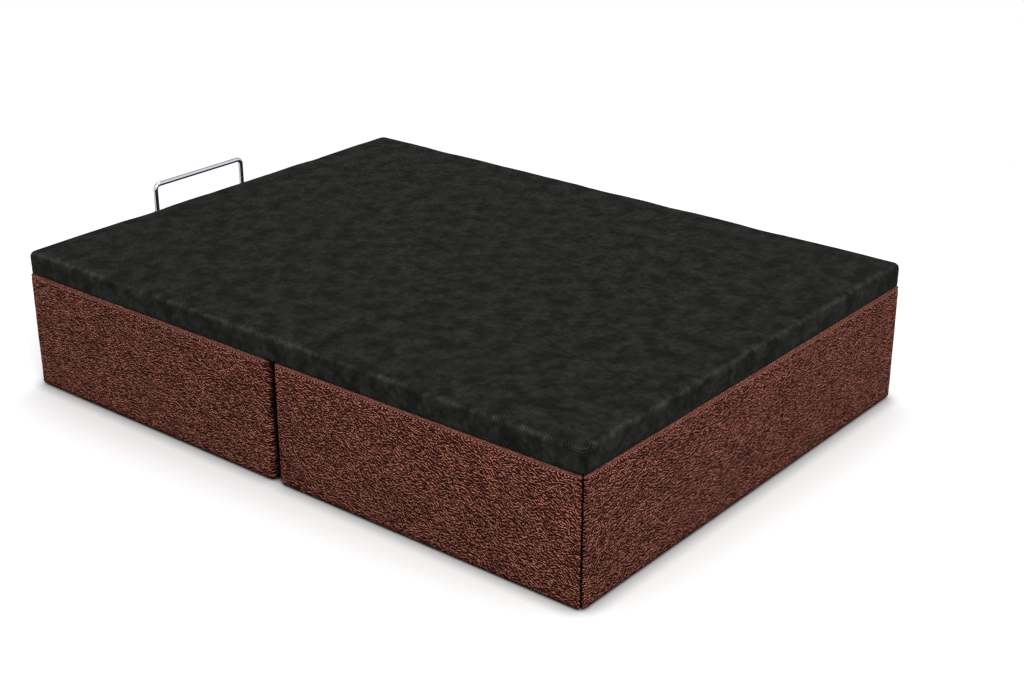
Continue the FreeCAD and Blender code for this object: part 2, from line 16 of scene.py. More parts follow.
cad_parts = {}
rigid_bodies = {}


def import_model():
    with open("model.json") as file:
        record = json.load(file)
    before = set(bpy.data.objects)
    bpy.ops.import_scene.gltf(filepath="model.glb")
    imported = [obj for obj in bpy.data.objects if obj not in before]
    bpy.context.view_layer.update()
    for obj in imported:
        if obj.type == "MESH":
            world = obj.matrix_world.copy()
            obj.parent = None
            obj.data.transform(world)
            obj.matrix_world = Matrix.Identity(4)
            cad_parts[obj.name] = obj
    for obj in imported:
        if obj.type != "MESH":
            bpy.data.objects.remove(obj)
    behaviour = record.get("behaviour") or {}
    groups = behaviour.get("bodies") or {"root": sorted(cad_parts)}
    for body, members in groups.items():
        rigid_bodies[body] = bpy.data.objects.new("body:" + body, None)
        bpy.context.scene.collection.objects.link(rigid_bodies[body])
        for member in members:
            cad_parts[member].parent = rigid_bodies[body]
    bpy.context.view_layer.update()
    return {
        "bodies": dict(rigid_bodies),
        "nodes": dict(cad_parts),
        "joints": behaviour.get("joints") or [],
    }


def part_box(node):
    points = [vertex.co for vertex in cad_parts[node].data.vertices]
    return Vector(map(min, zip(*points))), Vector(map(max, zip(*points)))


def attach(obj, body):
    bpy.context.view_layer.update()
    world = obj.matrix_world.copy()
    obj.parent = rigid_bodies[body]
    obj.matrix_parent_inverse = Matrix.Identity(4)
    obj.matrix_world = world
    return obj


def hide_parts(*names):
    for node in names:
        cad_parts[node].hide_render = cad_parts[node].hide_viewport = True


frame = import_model()
MM = 0.001
print("bodies:", len(frame["bodies"]), "nodes:", len(frame["nodes"]))

# %% [markdown]
# ## Measuring the frame
#
# The dressed pieces must sit exactly on the solids. Nothing is fitted by eye: the panels, the
# lid and the bar are measured from the boxes of their nodes, so a change in the CAD moves the
# cloth with it.

# %% Sizes taken from the nodes
side_low, side_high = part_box("side_cover_head_right")
board_low, board_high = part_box("side_board_head_right")
head_low, head_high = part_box("head_cover")
lid_low, lid_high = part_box("lid_cover")

panel_depth = side_high.x - side_low.x
panel_bottom = side_low.z
rim = side_high.z
board_depth = board_high.x - board_low.x
board_bottom = board_low.z
board_top = board_high.z
inner_x = side_low.x
inner_head_y = head_low.y
middle_y = (side_low.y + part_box("side_cover_foot_right")[1].y) / 2
half_split = side_low.y - middle_y
split_padding = board_low.y - side_low.y
print(f"panel {panel_depth:.4f} deep, {rim - panel_bottom:.4f} high, rim at {rim:.4f}")
print(f"split of {2 * half_split:.4f} at y {middle_y:.4f}")

# %% [markdown]
# ## The camera
#
# A product photographer stood at the corner of the long side and the head end, a little above
# the bed, with a normal to short telephoto lens. Setting the camera first means that every
# later choice is judged from the view that matters. A target point and a distance are easier
# to adjust than three angles, so the camera is aimed with `to_track_quat`.

# %% Camera
camera_place = Vector((3.424, 2.972, 2.111))
camera_target = Vector((-0.099, 0.118, 0.150))
sensor_width = 36.0
lens = 59.65

camera_data = bpy.data.cameras.new("camera")
camera_data.sensor_width = sensor_width
camera_data.lens = lens
camera = bpy.data.objects.new("camera", camera_data)
camera.location = camera_place
camera.rotation_euler = (camera_target - camera_place).to_track_quat("-Z", "Y").to_euler()
bpy.context.scene.collection.objects.link(camera)
bpy.context.scene.camera = camera
print(f"camera {(camera_target - camera_place).length:.3f} m from its target")

# %% [markdown]
# ## The studio
#
# The object stands on a seamless white floor with a soft contact shadow. A dome of even light gives much of
# that shadow, because the floor close to the box sees only half of the dome, and the floor's finish deepens
# it with a painted shadow right at the foot of the panels.
# A large soft lamp hangs above, a little behind the bed, and models the edge of the lid. A second
# one from the camera's side lifts the near panels and keeps the shadow close to the bed. Both are
# weak beside the dome, so colours render about as they are written.

# %% World and lamps
scene = bpy.context.scene
scene.view_settings.view_transform = "Standard"

dome_strength = 0.9
world = bpy.data.worlds.new("studio")
scene.world = world
world.use_nodes = True
tree = world.node_tree
background = tree.nodes["Background"]
background.inputs["Color"].default_value = (1, 1, 1, 1)
background.inputs["Strength"].default_value = dome_strength
kinds = ("Background", "MixShader", "LightPath")
white, mix, rays = [tree.nodes.new("ShaderNode" + kind) for kind in kinds]
white.inputs["Color"].default_value = (1, 1, 1, 1)
for source, target in ((rays.outputs["Is Camera Ray"], mix.inputs["Fac"]),
                       (background.outputs["Background"], mix.inputs[1]),
                       (white.outputs["Background"], mix.inputs[2]),
                       (mix.outputs["Shader"], tree.nodes["World Output"].inputs["Surface"])):
    tree.links.new(source, target)


def soft_lamp(name, place, target, size, power):
    lamp = bpy.data.lights.new(name, "AREA")
    lamp.shape = "DISK"
    lamp.size = size
    lamp.energy = power
    lamp_object = bpy.data.objects.new(name, lamp)
    lamp_object.location = place
    lamp_object.rotation_euler = (Vector(target) - Vector(place)).to_track_quat("-Z", "Y").to_euler()
    scene.collection.objects.link(lamp_object)
    return lamp_object


top_lamp = soft_lamp("top_lamp", (-1.2, -0.9, 5.2), (0, 0, 0.2), 3.6, 55)
front_lamp = soft_lamp("front_lamp", (3.4, 4.2, 4.6), (0.4, 0.4, 0.1), 3.0, 190)
print("dome", dome_strength, "lamps", top_lamp.data.energy, front_lamp.data.energy)

# %% [markdown]
# The floor is one large flat sheet, so that its edge is never in view. A shadow catcher would be
# the other way, but a real sheet also throws its light back onto the low panels, as a studio floor
# does.

# %% Floor
floor_size = 40.0
floor_mesh = bpy.data.meshes.new("floor")
shape = bmesh.new()
bmesh.ops.create_grid(shape, x_segments=8, y_segments=8, size=floor_size / 2)
shape.to_mesh(floor_mesh)
shape.free()
floor = bpy.data.objects.new("floor", floor_mesh)
scene.collection.objects.link(floor)
print("floor of", floor_size, "m")

# %% [markdown]
# ## A small kit for materials
#
# Every finish here is a node graph. Two small classes keep the graphs readable. A `Finish` is a
# material with its main shader, and its `add` makes one node, sets its values and plugs in its
# inputs. What comes out is a `Signal`, which can be added and multiplied like a number, so that a
# graph reads like a formula. Values that are the same everywhere are set on the shader itself.

# %% Signals
class Signal:
    """What comes out of a node. Used in a formula, it adds the Math nodes of the formula."""

    def __init__(self, finish, socket):
        self.finish, self.socket = finish, socket

    def __getitem__(self, output):
        """Another output of the same node."""
        return Signal(self.finish, self.socket.node.outputs[output])

    def __add__(self, other):
        return self.finish.math("ADD", self, other)

    def __sub__(self, other):
        return self.finish.math("SUBTRACT", self, other)

    def __mul__(self, other):
        return self.finish.math("MULTIPLY", self, other)

    def __truediv__(self, other):
        return self.finish.math("DIVIDE", self, other)

    def sharpen(self, low, high, out_low=0.0, out_high=1.0):
        """Spreads the part between low and high, with soft ends."""
        plugs = {"Value": self, "From Min": low, "From Max": high, "To Min": out_low, "To Max": out_high}
        return self.finish.add("MapRange", plugs, interpolation_type="SMOOTHSTEP")

    def mix(self, first, second):
        """The first colour where the signal is 0, and the second where it is 1."""
        return self.finish.add("Mix", {0: self, 6: first, 7: second}, 2, data_type="RGBA")

# %% [markdown]
# The patterns that most finishes share are methods of `Finish`. They all use its place, which is
# the object's own coordinates in metres, or on cloth the flat coordinates of the cut piece.

# %% Finishes
class Finish:
    """A material in the making. Each method adds nodes and gives back what comes out of them."""

    def __init__(self, name, roughness, metallic=0.0, specular=0.5, cloth=False):
        self.material = bpy.data.materials.new(name)
        self.material.use_nodes = True
        self.tree = self.material.node_tree
        self.shader = self.tree.nodes["Principled BSDF"]
        constants = {"Roughness": roughness, "Metallic": metallic, "Specular IOR Level": specular}
        for key, value in constants.items():
            self.shader.inputs[key].default_value = value
        self.place = self.add("UVMap") if cloth else self.add("TexCoord", output="Object")
        self.normal = None

    def plug(self, value, target):
        if isinstance(value, Signal):
            self.tree.links.new(value.socket, target)
        else:
            target.default_value = value

    def add(self, kind, plugs={}, output=0, **settings):
        """One node: its settings by name, and its inputs as numbers, colours or signals."""
        node = self.tree.nodes.new("ShaderNode" + kind)
        for key, value in settings.items():
            setattr(node, key, value)
        for key, value in plugs.items():
            self.plug(value, node.inputs[key])
        return Signal(self, node.outputs[output])

    def math(self, operation, first, second=0.0):
        return self.add("Math", {0: first, 1: second}, operation=operation)

    def vector(self, operation, first, second=None, output=0):
        plugs = {0: first} if second is None else {0: first, 1: second}
        return self.add("VectorMath", plugs, output, operation=operation)

    def turned(self, angle):
        """The place, turned in the plane of the cloth."""
        return self.add("VectorRotate", {"Vector": self.place, "Angle": angle}, rotation_type="Z_AXIS")

    def clouds(self, scale, detail=3.0, roughness=0.5, place=None):
        """Soft irregular patches, from 0 to 1."""
        plugs = {"Vector": place or self.place, "Scale": scale, "Detail": detail, "Roughness": roughness}
        return self.add("TexNoise", plugs)

    def cells(self, scale):
        """Small cells: their distance from the middle, and a random colour each."""
        return self.add("TexVoronoi", {"Vector": self.place, "Scale": scale, "Randomness": 1.0})

    def cell_shade(self, scale):
        """A random shade for each small cell."""
        return self.add("SeparateColor", {"Color": self.cells(scale)["Color"]})

    def openness(self, reach, samples):
        """1 where nothing is within reach, and less in gaps: a factor for painting shade into a colour."""
        return self.add("AmbientOcclusion", {"Distance": reach}, "AO", samples=samples)

    def bevel(self, radius):
        """The normal as it would be if the sharp edges were rounded."""
        return self.add("Bevel", {"Radius": radius}, samples=4)

    def tinted(self, base, factor):
        """A colour made darker or paler by a factor."""
        plugs = {0: 1.0, 6: base, 7: self.add("CombineColor", {0: factor, 1: factor, 2: factor})}
        return self.add("Mix", plugs, 2, data_type="RGBA", blend_type="MULTIPLY")

    def relief(self, height, depth, strength, rounding=None):
        """Bump in metres of depth, on top of rounded edges or of the bump that was made before."""
        plugs = {"Height": height, "Distance": depth, "Strength": strength}
        below = self.bevel(rounding) if rounding else self.normal
        if below:
            plugs["Normal"] = below
        self.normal = self.add("Bump", plugs)
        self.plug(self.normal, self.shader.inputs["Normal"])

    def done(self, base, **others):
        """Plugs the base colour and other signals into the shader, and gives the material back."""
        for key, value in {"Base Color": base, **others}.items():
            self.plug(value, self.shader.inputs[key])
        return self.material


def colour(red, green, blue):
    """A display colour from 0 to 255 as Blender's linear one."""
    shares = [c / 255 for c in (red, green, blue)]
    return tuple(c / 12.92 if c <= 10 / 255 else ((c + 0.055) / 1.055) ** 2.4 for c in shares) + (1,)


def darker(tone, share):
    return tuple(c * share for c in tone[:3]) + (1,)


print("middle grey as Blender's own:", round(colour(128, 128, 128)[0], 3))

# %% [markdown]
# ## The floor
#
# The floor is paler to the camera than to the light that bounces off it, so the page around the
# bed comes out white while the panels get no more bounce than a real studio floor would give.
# Right at the foot of a panel it darkens: a painted contact shadow, made by an ambient occlusion node in the
# floor's colour. Further out than the shadow reaches it turns into an even white.

# %% Floor finish
contact_reach = 45 * MM
contact_power = 0.9
contact_samples = 12
bounce = 0.72
page_start, page_end = 1.7, 2.8
paper = Finish("studio_floor", 0.9, specular=0.0)
seen = paper.add("LightPath", output="Is Camera Ray")
paleness = paper.add("MapRange", {"Value": seen, "To Min": bounce, "To Max": 1.0})
# Painted contact shadow: ambient occlusion darkens the floor's colour close to the panels.
near = paper.openness(contact_reach, contact_samples)
paper.done(paleness * paper.math("POWER", near, contact_power))
distance = paper.vector("LENGTH", paper.place, output="Value")
page = paper.add("Emission", {"Color": (1, 1, 1, 1), "Strength": 1.0})
lit_floor = Signal(paper, paper.shader.outputs[0])
both = paper.add("MixShader", {0: distance.sharpen(page_start, page_end), 1: lit_floor, 2: page})
paper.plug(both, paper.tree.nodes["Material Output"].inputs["Surface"])
floor.data.materials.append(paper.material)
print("floor nodes:", len(paper.tree.nodes))

# %% [markdown]
# ## The upholstered panels
#
# Each panel is a board with padding and cloth pulled round it, open only on the face towards
# the storage space. Seen in section it is a letter C. The mesh sweeps that section along the
# panel: the section has the same points everywhere, and only where they sit changes. That makes
# it easy to round the split end in plan and in height, to slant the other end for the mitre,
# and to give the cloth flat coordinates in metres that run round the edges as real cloth does.
#
# A pressed seam runs along the panel a finger below the rim. It is a groove in the section.

# %% The section of a panel
edge_round = 7 * MM
lip_round = 2.5 * MM
seam_drop = 10.5 * MM
seam_half = 3 * MM
seam_sink = 2.2 * MM
crown = 1.6 * MM
cloth_lift = 0.25 * MM


def quarter(centre, radius, start, steps):
    """Points of a quarter turn in the section, clockwise from the start angle in degrees."""
    turns = [math.radians(start - 90 * i / steps) for i in range(steps + 1)]
    return [(centre[0] + radius * math.cos(t), centre[1] + radius * math.sin(t)) for t in turns]


def panel_section():
    """The outer skin from the inner lip over the rim, down the face and under the foot."""
    depth, top, low = panel_depth, rim, panel_bottom
    points = [(0, board_top + cloth_lift)]
    points += quarter((lip_round, top - lip_round), lip_round, 180, 3)
    points += quarter((depth - edge_round, top - edge_round), edge_round, 90, 5)
    seam_z = top - seam_drop
    points += [(depth, seam_z + seam_half), (depth - seam_sink, seam_z), (depth, seam_z - seam_half)]
    start, end = seam_z - seam_half, low + edge_round
    rows = 34
    points += [(depth, start + (end - start) * i / rows) for i in range(1, rows)]
    points += quarter((depth - edge_round, low + edge_round), edge_round, 0, 4)
    points += [(depth * 0.4, low), (0, low)]
    return points


def hidden_section(open_depth):
    """The way back inside the cloth, round the board: no deeper than open_depth."""
    low, top = board_bottom - cloth_lift, board_top + cloth_lift
    return [(0, low), (open_depth, low), (open_depth, (low + top) / 2), (open_depth, top)]


def girth_at(points, index):
    """How much cloth there is from the section's first point to a later one."""
    return sum(math.dist(points[i], points[i + 1]) for i in range(index))


section_size = len(panel_section()) + len(hidden_section(0))
seam_girth = girth_at(panel_section(), panel_section().index((panel_depth - seam_sink, rim - seam_drop)))
print("section of", section_size, "points")

# %% [markdown]
# ## Chenille
#
# Chenille yarn is a fat, furry thread. Woven loosely it lies in short ridges that slant this way
# and that, with dark gaps between them. A wave across the yarn makes the ridges, a soft noise
# bends them, and long Voronoi cells shift and tilt the wave from cell to cell, which breaks the
# ridges into separate lengths of yarn. The cloth coordinates are in metres, so every size below
# is the real size of the yarn.

# %% Chenille helpers
yarn_pitch = 7.2 * MM
yarn_length = 10 * MM
yarn_bundle = 7.2 * MM
weave_slant = math.radians(16)
yarn_bend = 0.4
yarn_tilt = 1.3
yarn_fuzz = 0.12
yarn_share = -0.7
shade_spread, pile_spread, clump_spread = 0.3, 0.5, 0.1
# The gap tone is painted shade between the yarn ridges, and the crest tone a painted highlight on their tops.
ridge_gap_shade_tone, yarn_tone, crest_highlight_tone = colour(24, 8, 6), colour(80, 36, 27), colour(196, 127, 107)
ridge_gap_shade_span, crest_highlight_span = (0.0, 0.4), (0.65, 1.2)
gap_reach, gap_samples = 35 * MM, 8
gap_shade = (0.3, 0.95, 0.16, 1.0)
seam_shade = (0.8 * MM, 3.4 * MM, 0.3, 1.0)
band_share = 0.6
band_stretch = (70, 700, 0)
band_dark, band_pale = colour(58, 28, 22), colour(150, 92, 78)


def yarn_ridges(finish):
    """Height of the yarn from 0 in the gaps to 1 on the ridges, and a random shade per length of yarn."""
    turned = finish.turned(weave_slant)
    plugs = {"Vector": finish.vector("DIVIDE", turned, (yarn_length, yarn_bundle, 1)), "Scale": 1.0}
    lengths = finish.add("TexVoronoi", plugs, "Color", voronoi_dimensions="2D")
    breaks = finish.add("TexVoronoi", plugs, voronoi_dimensions="2D", feature="DISTANCE_TO_EDGE")
    chance = finish.add("SeparateColor", {"Color": lengths})
    drawn_out = finish.vector("MULTIPLY", turned, (0.5, 1, 1))
    split = finish.add("SeparateXYZ", {"Vector": turned})
    bend = finish.clouds(55.0, 2.0, place=drawn_out) * yarn_bend
    tilt = (chance[2] - 0.5) * (yarn_tilt / yarn_pitch)
    fuzz = finish.clouds(420.0, 2.0) * yarn_fuzz
    phase = split["Y"] / yarn_pitch + bend + split["X"] * tilt + chance[0] + fuzz
    wave = finish.math("SINE", phase * math.tau)
    return wave.sharpen(yarn_share, 1.0) * breaks.sharpen(-0.04, 0.12), chance[1]

# %% [markdown]
# Three tones carry the yarn: the dark of the gaps, which is painted shade between the ridges, the red-brown
# body, and the paler crests, which are a painted highlight. The band above the seam is pulled tight round the
# rim, so it looks a little paler, and the seam itself is a dark line of painted shade in its groove. Narrow
# gaps, such as the split, the mitres and the foot, are darker too: painted shade, from an ambient occlusion
# node.

# %% Chenille finish
def chenille_finish(name):
    finish = Finish(name, 0.92, specular=0.05, cloth=True)
    height, shade = yarn_ridges(finish)
    pile = finish.clouds(700.0, 2.0)
    clumps = finish.clouds(60.0, 2.0)
    lit = height
    for source, spread in ((shade, shade_spread), (pile, pile_spread), (clumps, clump_spread)):
        lit = lit + (source - 0.5) * spread
    # Painted shade in the gaps between the ridges, then a painted highlight on their crests.
    base = lit.sharpen(*ridge_gap_shade_span).mix(ridge_gap_shade_tone, yarn_tone)
    base = lit.sharpen(*crest_highlight_span).mix(base, crest_highlight_tone)
    past_seam = finish.add("SeparateXYZ", {"Vector": finish.place}, "Y") + seam_girth
    band = past_seam.sharpen(1 * MM, 3 * MM, 0.0, band_share)
    along = finish.vector("MULTIPLY", finish.place, band_stretch)
    pulled = finish.clouds(1.0, 3.0, place=along).sharpen(0.3, 0.7).mix(band_dark, band_pale)
    tint = finish.clouds(9.0, 4.0, 0.6).sharpen(0.3, 0.7, 0.9, 1.08)
    # Painted shade along the groove of the seam.
    tint = tint * finish.math("ABSOLUTE", past_seam).sharpen(*seam_shade)
    # Painted shade in narrow gaps, at the mitres, the split and the foot, from ambient occlusion.
    tint = tint * finish.openness(gap_reach, gap_samples).sharpen(*gap_shade)
    finish.relief(pile, 0.5 * MM, 0.5)
    finish.relief(height * finish.math("SUBTRACT", 1.0, band), 3 * MM, 1.0)
    return finish.done(finish.tinted(band.mix(base, pulled), tint))


chenille = chenille_finish("chenille")
print("chenille nodes:", len(chenille.node_tree.nodes))

# %% [markdown]
# The sweep below walks along the panel. `ends` says what each end is: a soft end is rounded
# over a radius, with padding before the board starts, and a mitred end slants so that the
# outer face is longer than the inner one. Perlin noise, which is the same on every run, moves
# the skin by well under a millimetre, because hand-pulled cloth is never quite flat.

# %% Sweep of a panel
mitre_round = 16 * MM
mitre_cloth = 3 * MM
soft_round = 16 * MM
soft_drop = 7 * MM
mitre_blend = 60 * MM
mitre_drop_share = 0.3
section_step = 10 * MM
end_stations = [d * MM for d in (0, 0.3, 0.9, 1.9, 3.4, 5.4, 8, 11, 13.8, 14.2, 17, 21, 27)]
calm_end = 80 * MM
ripple_depth, fine_depth, foot_wave_depth = 0.9 * MM, 0.35 * MM, 1.1 * MM


def ease_in(distance, radius):
    """How far a rounded end has drawn in at a distance from it."""
    if distance >= radius:
        return 0.0
    return radius - math.sqrt(max(radius ** 2 - (radius - distance) ** 2, 0))


def stations(length):
    """Distances along the panel's outer face where sections stand, closer at its ends."""
    first = end_stations[-1]
    count = round((length - 2 * first) / section_step)
    middle = [first + (length - 2 * first) * i / count for i in range(1, count)]
    return end_stations + middle + [length - d for d in reversed(end_stations)]


def end_effects(along, length, ends):
    """How the ends change a section: its draw inwards, its drop, its slant and the board's reach."""
    draw = drop = slant = 0.0
    open_depth = board_depth + cloth_lift
    for distance, end, sign in zip((along, length - along), ends, (-1, 1)):
        soft = end == "soft"
        draw_here = ease_in(distance, soft_round if soft else mitre_round)
        draw = max(draw, draw_here)
        drop = max(drop, draw_here * (soft_drop / soft_round if soft else mitre_drop_share))
        if distance < (split_padding if soft else mitre_cloth):
            open_depth = 0.0
        if not soft:
            slant += sign * max(0.0, 1 - distance / mitre_blend)
    return draw, drop, slant, open_depth

# %% [markdown]
# The skin is the section of the cloth after pulling. It swells a little between its edges, carries
# the ripples, and gives way at the ends. Only the outer skin moves: what lies against the board
# stays where the board is.

# %% Skin of a panel
def skin_point(along, depth, height, length, ends, seed):
    """Where a point of the outer skin comes to lie once the cloth is pulled round the board."""
    draw, drop, slant, open_depth = end_effects(along, length, ends)
    share = min(1.0, depth / panel_depth)
    level = (height - (rim + panel_bottom) / 2) / ((rim - panel_bottom) / 2)
    calm = min(1.0, min(along, length - along) / calm_end)
    bulge = crown * max(0.0, 1 - level ** 4) * calm
    place = Vector((along * 9 + seed * 7.3, height * 9, seed))
    ripple = noise.noise(place) * ripple_depth + noise.noise(place * 4.2) * fine_depth
    foot_wave = noise.noise(Vector((along * 42, seed, 3.1))) * foot_wave_depth * max(0.0, -level) ** 6
    new_depth = depth + (bulge + ripple * 0.8 - draw) * share
    new_height = height - level * drop + (foot_wave + ripple * 0.5 * abs(level) ** 8) * (share > 0.2)
    return along + slant * (new_depth - panel_depth), new_depth, new_height


def panel_shape(length, ends, seed):
    """Vertices as (along, depth, height) and cloth coordinates of one panel, section by section."""
    outer = panel_section()
    vertices, cloth = [], []
    for along in stations(length):
        draw, drop, slant, open_depth = end_effects(along, length, ends)
        girth, last = 0.0, outer[0]
        for depth, height in outer:
            girth += math.dist((depth, height), last)
            last = (depth, height)
            vertices.append(skin_point(along, depth, height, length, ends, seed))
            cloth.append((along, -girth))
        for depth, height in hidden_section(open_depth):
            vertices.append((along + slant * (depth - panel_depth), depth, height))
            cloth.append((along, -girth - height))
    return vertices, cloth

# %% [markdown]
# Sections become a mesh by joining each point to its neighbours. The same two helpers close the
# stitches and the bolt heads further down. `make_piece` also makes the piece ride on its body.

# %% From sections to a mesh
def ring_quads(rows, size, first=0):
    """Quads between closed rings of points that follow each other in a list."""
    faces = []
    for a in range(first, first + (rows - 1) * size, size):
        for i in range(size):
            j = (i + 1) % size
            faces.append((a + i, a + j, a + size + j, a + size + i))
    return faces


def tube_faces(rows, size):
    """Quads between neighbouring closed sections, and a flat cap at each end."""
    caps = [tuple(range(size - 1, -1, -1)), tuple(range((rows - 1) * size, rows * size))]
    return ring_quads(rows, size) + caps


def make_piece(name, vertices, faces, finish, body, cloth=None):
    """A mesh object from plain lists that rides on a body; cloth gives each vertex its coordinates."""
    mesh = bpy.data.meshes.new(name)
    mesh.from_pydata([tuple(v) for v in vertices], [], faces)
    if cloth is not None:
        layer = mesh.uv_layers.new(name="UVMap")
        for loop in mesh.loops:
            layer.data[loop.index].uv = cloth[loop.vertex_index]
    mesh.materials.append(finish)
    mesh.shade_smooth()
    piece = bpy.data.objects.new(name, mesh)
    scene.collection.objects.link(piece)
    shape = bmesh.new()
    shape.from_mesh(mesh)
    bmesh.ops.triangulate(shape, faces=[f for f in shape.faces if len(f.verts) > 4])
    bmesh.ops.recalc_face_normals(shape, faces=shape.faces)
    shape.to_mesh(mesh)
    shape.free()
    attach(piece, body)
    return piece


print("a panel of 1 m has", len(stations(1.0)), "sections")

# %% [markdown]
# One panel function serves six panels. Each is placed by a rule that turns (along, depth,
# height) into the bed's own axes, so the four side halves and the two ends are the same cloth
# seen in different mirrors. The seed changes the ripples from panel to panel, and sets the cloth
# coordinates of the panels apart so that no two show the same yarn.

# %% The six covers
gap = 0.6 * MM
centre_y = (head_high.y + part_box("foot_cover")[0].y) / 2
side_length = head_high.y - gap - side_low.y
end_start = -side_high.x + gap
end_length = -2 * end_start
cloth_apart = 3.0


def side_rule(side, end):
    """Places a side half: along runs from the split towards the corner."""
    def rule(along, depth, height):
        y = middle_y + half_split + along
        return Vector((side * (inner_x + depth), y if end > 0 else 2 * centre_y - y, height))
    return rule


def end_rule(end):
    def rule(along, depth, height):
        y = inner_head_y + depth
        return Vector((end_start + along, y if end > 0 else 2 * centre_y - y, height))
    return rule


side_ends, end_ends = ("soft", "mitre"), ("mitre", "mitre")
panels = {
    "side_cover_head_right": (side_length, side_ends, side_rule(1, 1), 1),
    "side_cover_head_left": (side_length, side_ends, side_rule(-1, 1), -1),
    "side_cover_foot_right": (side_length, side_ends, side_rule(1, -1), -1),
    "side_cover_foot_left": (side_length, side_ends, side_rule(-1, -1), 1),
    "head_cover": (end_length, end_ends, end_rule(1), 1),
    "foot_cover": (end_length, end_ends, end_rule(-1), -1),
}
for seed, (node, (length, ends, rule, hand)) in enumerate(panels.items()):
    flat, cloth = panel_shape(length, ends, seed)
    cloth = [(hand * x + seed * cloth_apart, y) for x, y in cloth]
    rows = len(flat) // section_size
    faces = tube_faces(rows, section_size)
    cover = make_piece("padded_" + node, [rule(*v) for v in flat], faces, chenille, "root", cloth)
    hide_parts(node)
print("six covers, each of", rows, "sections")

# %% [markdown]
# ## Thread, hem and staples
#
# The topstitch lies in the pressed seam: short arched stitches of a paler thread, set by the same
# rule as the skin so that none floats or sinks. On the hidden inner side the cloth turns down
# over the board for about a centimetre, and a staple gun holds it. Each row is one mesh.

# %% Thread
def thread_finish(name, pale, metallic=0.0):
    finish = Finish(name, 0.75, metallic, 0.3)
    twist = finish.add("TexWave", {"Vector": finish.place, "Scale": 190.0, "Distortion": 1.0}, "Fac")
    finish.relief(twist, 0.3 * MM, 0.8)
    return finish.done((twist * finish.clouds(900.0, 2.0)).mix(darker(pale, 0.45), pale))


thread = thread_finish("seam_thread", colour(216, 142, 124))
stitch_pitch = 10 * MM
stitch_length = 6 * MM
stitch_radius = 1.3 * MM
stitch_sides = 6
stitch_rings = (0.12, 0.35, 0.65, 0.88)


def stitch(start, end, outward, thickness=stitch_radius):
    """An arched thread between two points: rings of a few sides, closed to a point at both ends."""
    across = (end - start).normalized().cross(outward).normalized()
    vertices = [start]
    for share in stitch_rings:
        arch = math.sin(math.pi * share)
        centre = start.lerp(end, share) + outward * arch * thickness
        radius = thickness * (0.45 + 0.55 * arch)
        for k in range(stitch_sides):
            turn = math.tau * k / stitch_sides
            vertices.append(centre + (across * math.cos(turn) + outward * math.sin(turn)) * radius)
    tip = len(vertices)
    last = tip - stitch_sides
    faces = ring_quads(len(stitch_rings), stitch_sides, 1)
    for k in range(stitch_sides):
        n = (k + 1) % stitch_sides
        faces += [(0, 1 + n, 1 + k), (tip, last + k, last + n)]
    return vertices + [end], faces


def join(parts):
    """One list of vertices and faces from many."""
    vertices, faces = [], []
    for part_vertices, part_faces in parts:
        start = len(vertices)
        vertices += part_vertices
        faces += [tuple(start + i for i in face) for face in part_faces]
    return vertices, faces


def stitch_row(count, start, end, place, outward, half=stitch_length / 2, thickness=stitch_radius):
    """Stitches spread evenly from start to end, where place gives the point at a distance along."""
    row = []
    for i in range(count):
        along = start + (end - start) * (i + 0.5) / count
        row.append(stitch(place(along - half), place(along + half), outward, thickness))
    return row


def outward_of(rule):
    return (rule(0, 1, 0) - rule(0, 0, 0)).normalized()


stitch_depth = panel_depth - seam_sink * 0.45
for seed, (node, (length, ends, rule, hand)) in enumerate(panels.items()):
    def in_the_seam(along):
        return rule(*skin_point(along, stitch_depth, rim - seam_drop, length, ends, seed))

    count = int((length - 2 * soft_round) / stitch_pitch)
    vertices, faces = join(stitch_row(count, soft_round, length - soft_round, in_the_seam, outward_of(rule)))
    row = make_piece("stitches_" + node, vertices, faces, thread, "root")
print("topstitch rows:", len(panels))

# %% [markdown]
# The hem is a narrow strip on the board's inner face. It stops short of the joining strips and of
# the lift fittings, where a fitter cuts it away so that steel can lie flat on wood.

# %% Hems and staples
hem_depth = 9 * MM
hem_thickness = 0.9 * MM
hem_clear = 3 * MM
hem_sink = -0.1 * MM
hem_fold = 1 * MM
hem_unevenness = 1.2 * MM
hem_points = 6
staple_pitch = 60 * MM
staple_length = 11 * MM
staple_radius = 0.45 * MM
hem_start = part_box("joining_strips")[1].y + hem_clear - side_low.y
lift_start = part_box("base_plate_right")[0].y - hem_clear - side_low.y
corner_clear = panel_depth + hem_clear


def hem_shape(start, end, seed):
    """A strip as closed sections of six points, with a hand-cut lower edge."""
    vertices, cloth = [], []
    count = round((end - start) / section_step)
    out = -hem_thickness
    for i in range(count + 1):
        along = start + (end - start) * i / count
        low = board_top - hem_depth + noise.noise(Vector((along * 30, seed, 8.1))) * hem_unevenness
        section = [(hem_sink, board_top), (out * 0.6, board_top), (out, board_top - hem_fold),
                   (out, low + hem_fold), (out * 0.6, low), (hem_sink, low)]
        vertices += [(along, depth, height) for depth, height in section]
        cloth += [(along, depth + height) for depth, height in section]
    return vertices, cloth


def inner_staples(start, end, rule):
    """A row of staples through the hem."""
    def in_the_hem(along):
        return rule(along, -hem_thickness, board_top - hem_depth / 2)

    count = round((end - start) / staple_pitch)
    inward = -outward_of(rule)
    return join(stitch_row(count, start, end, in_the_hem, inward, staple_length / 2, staple_radius))


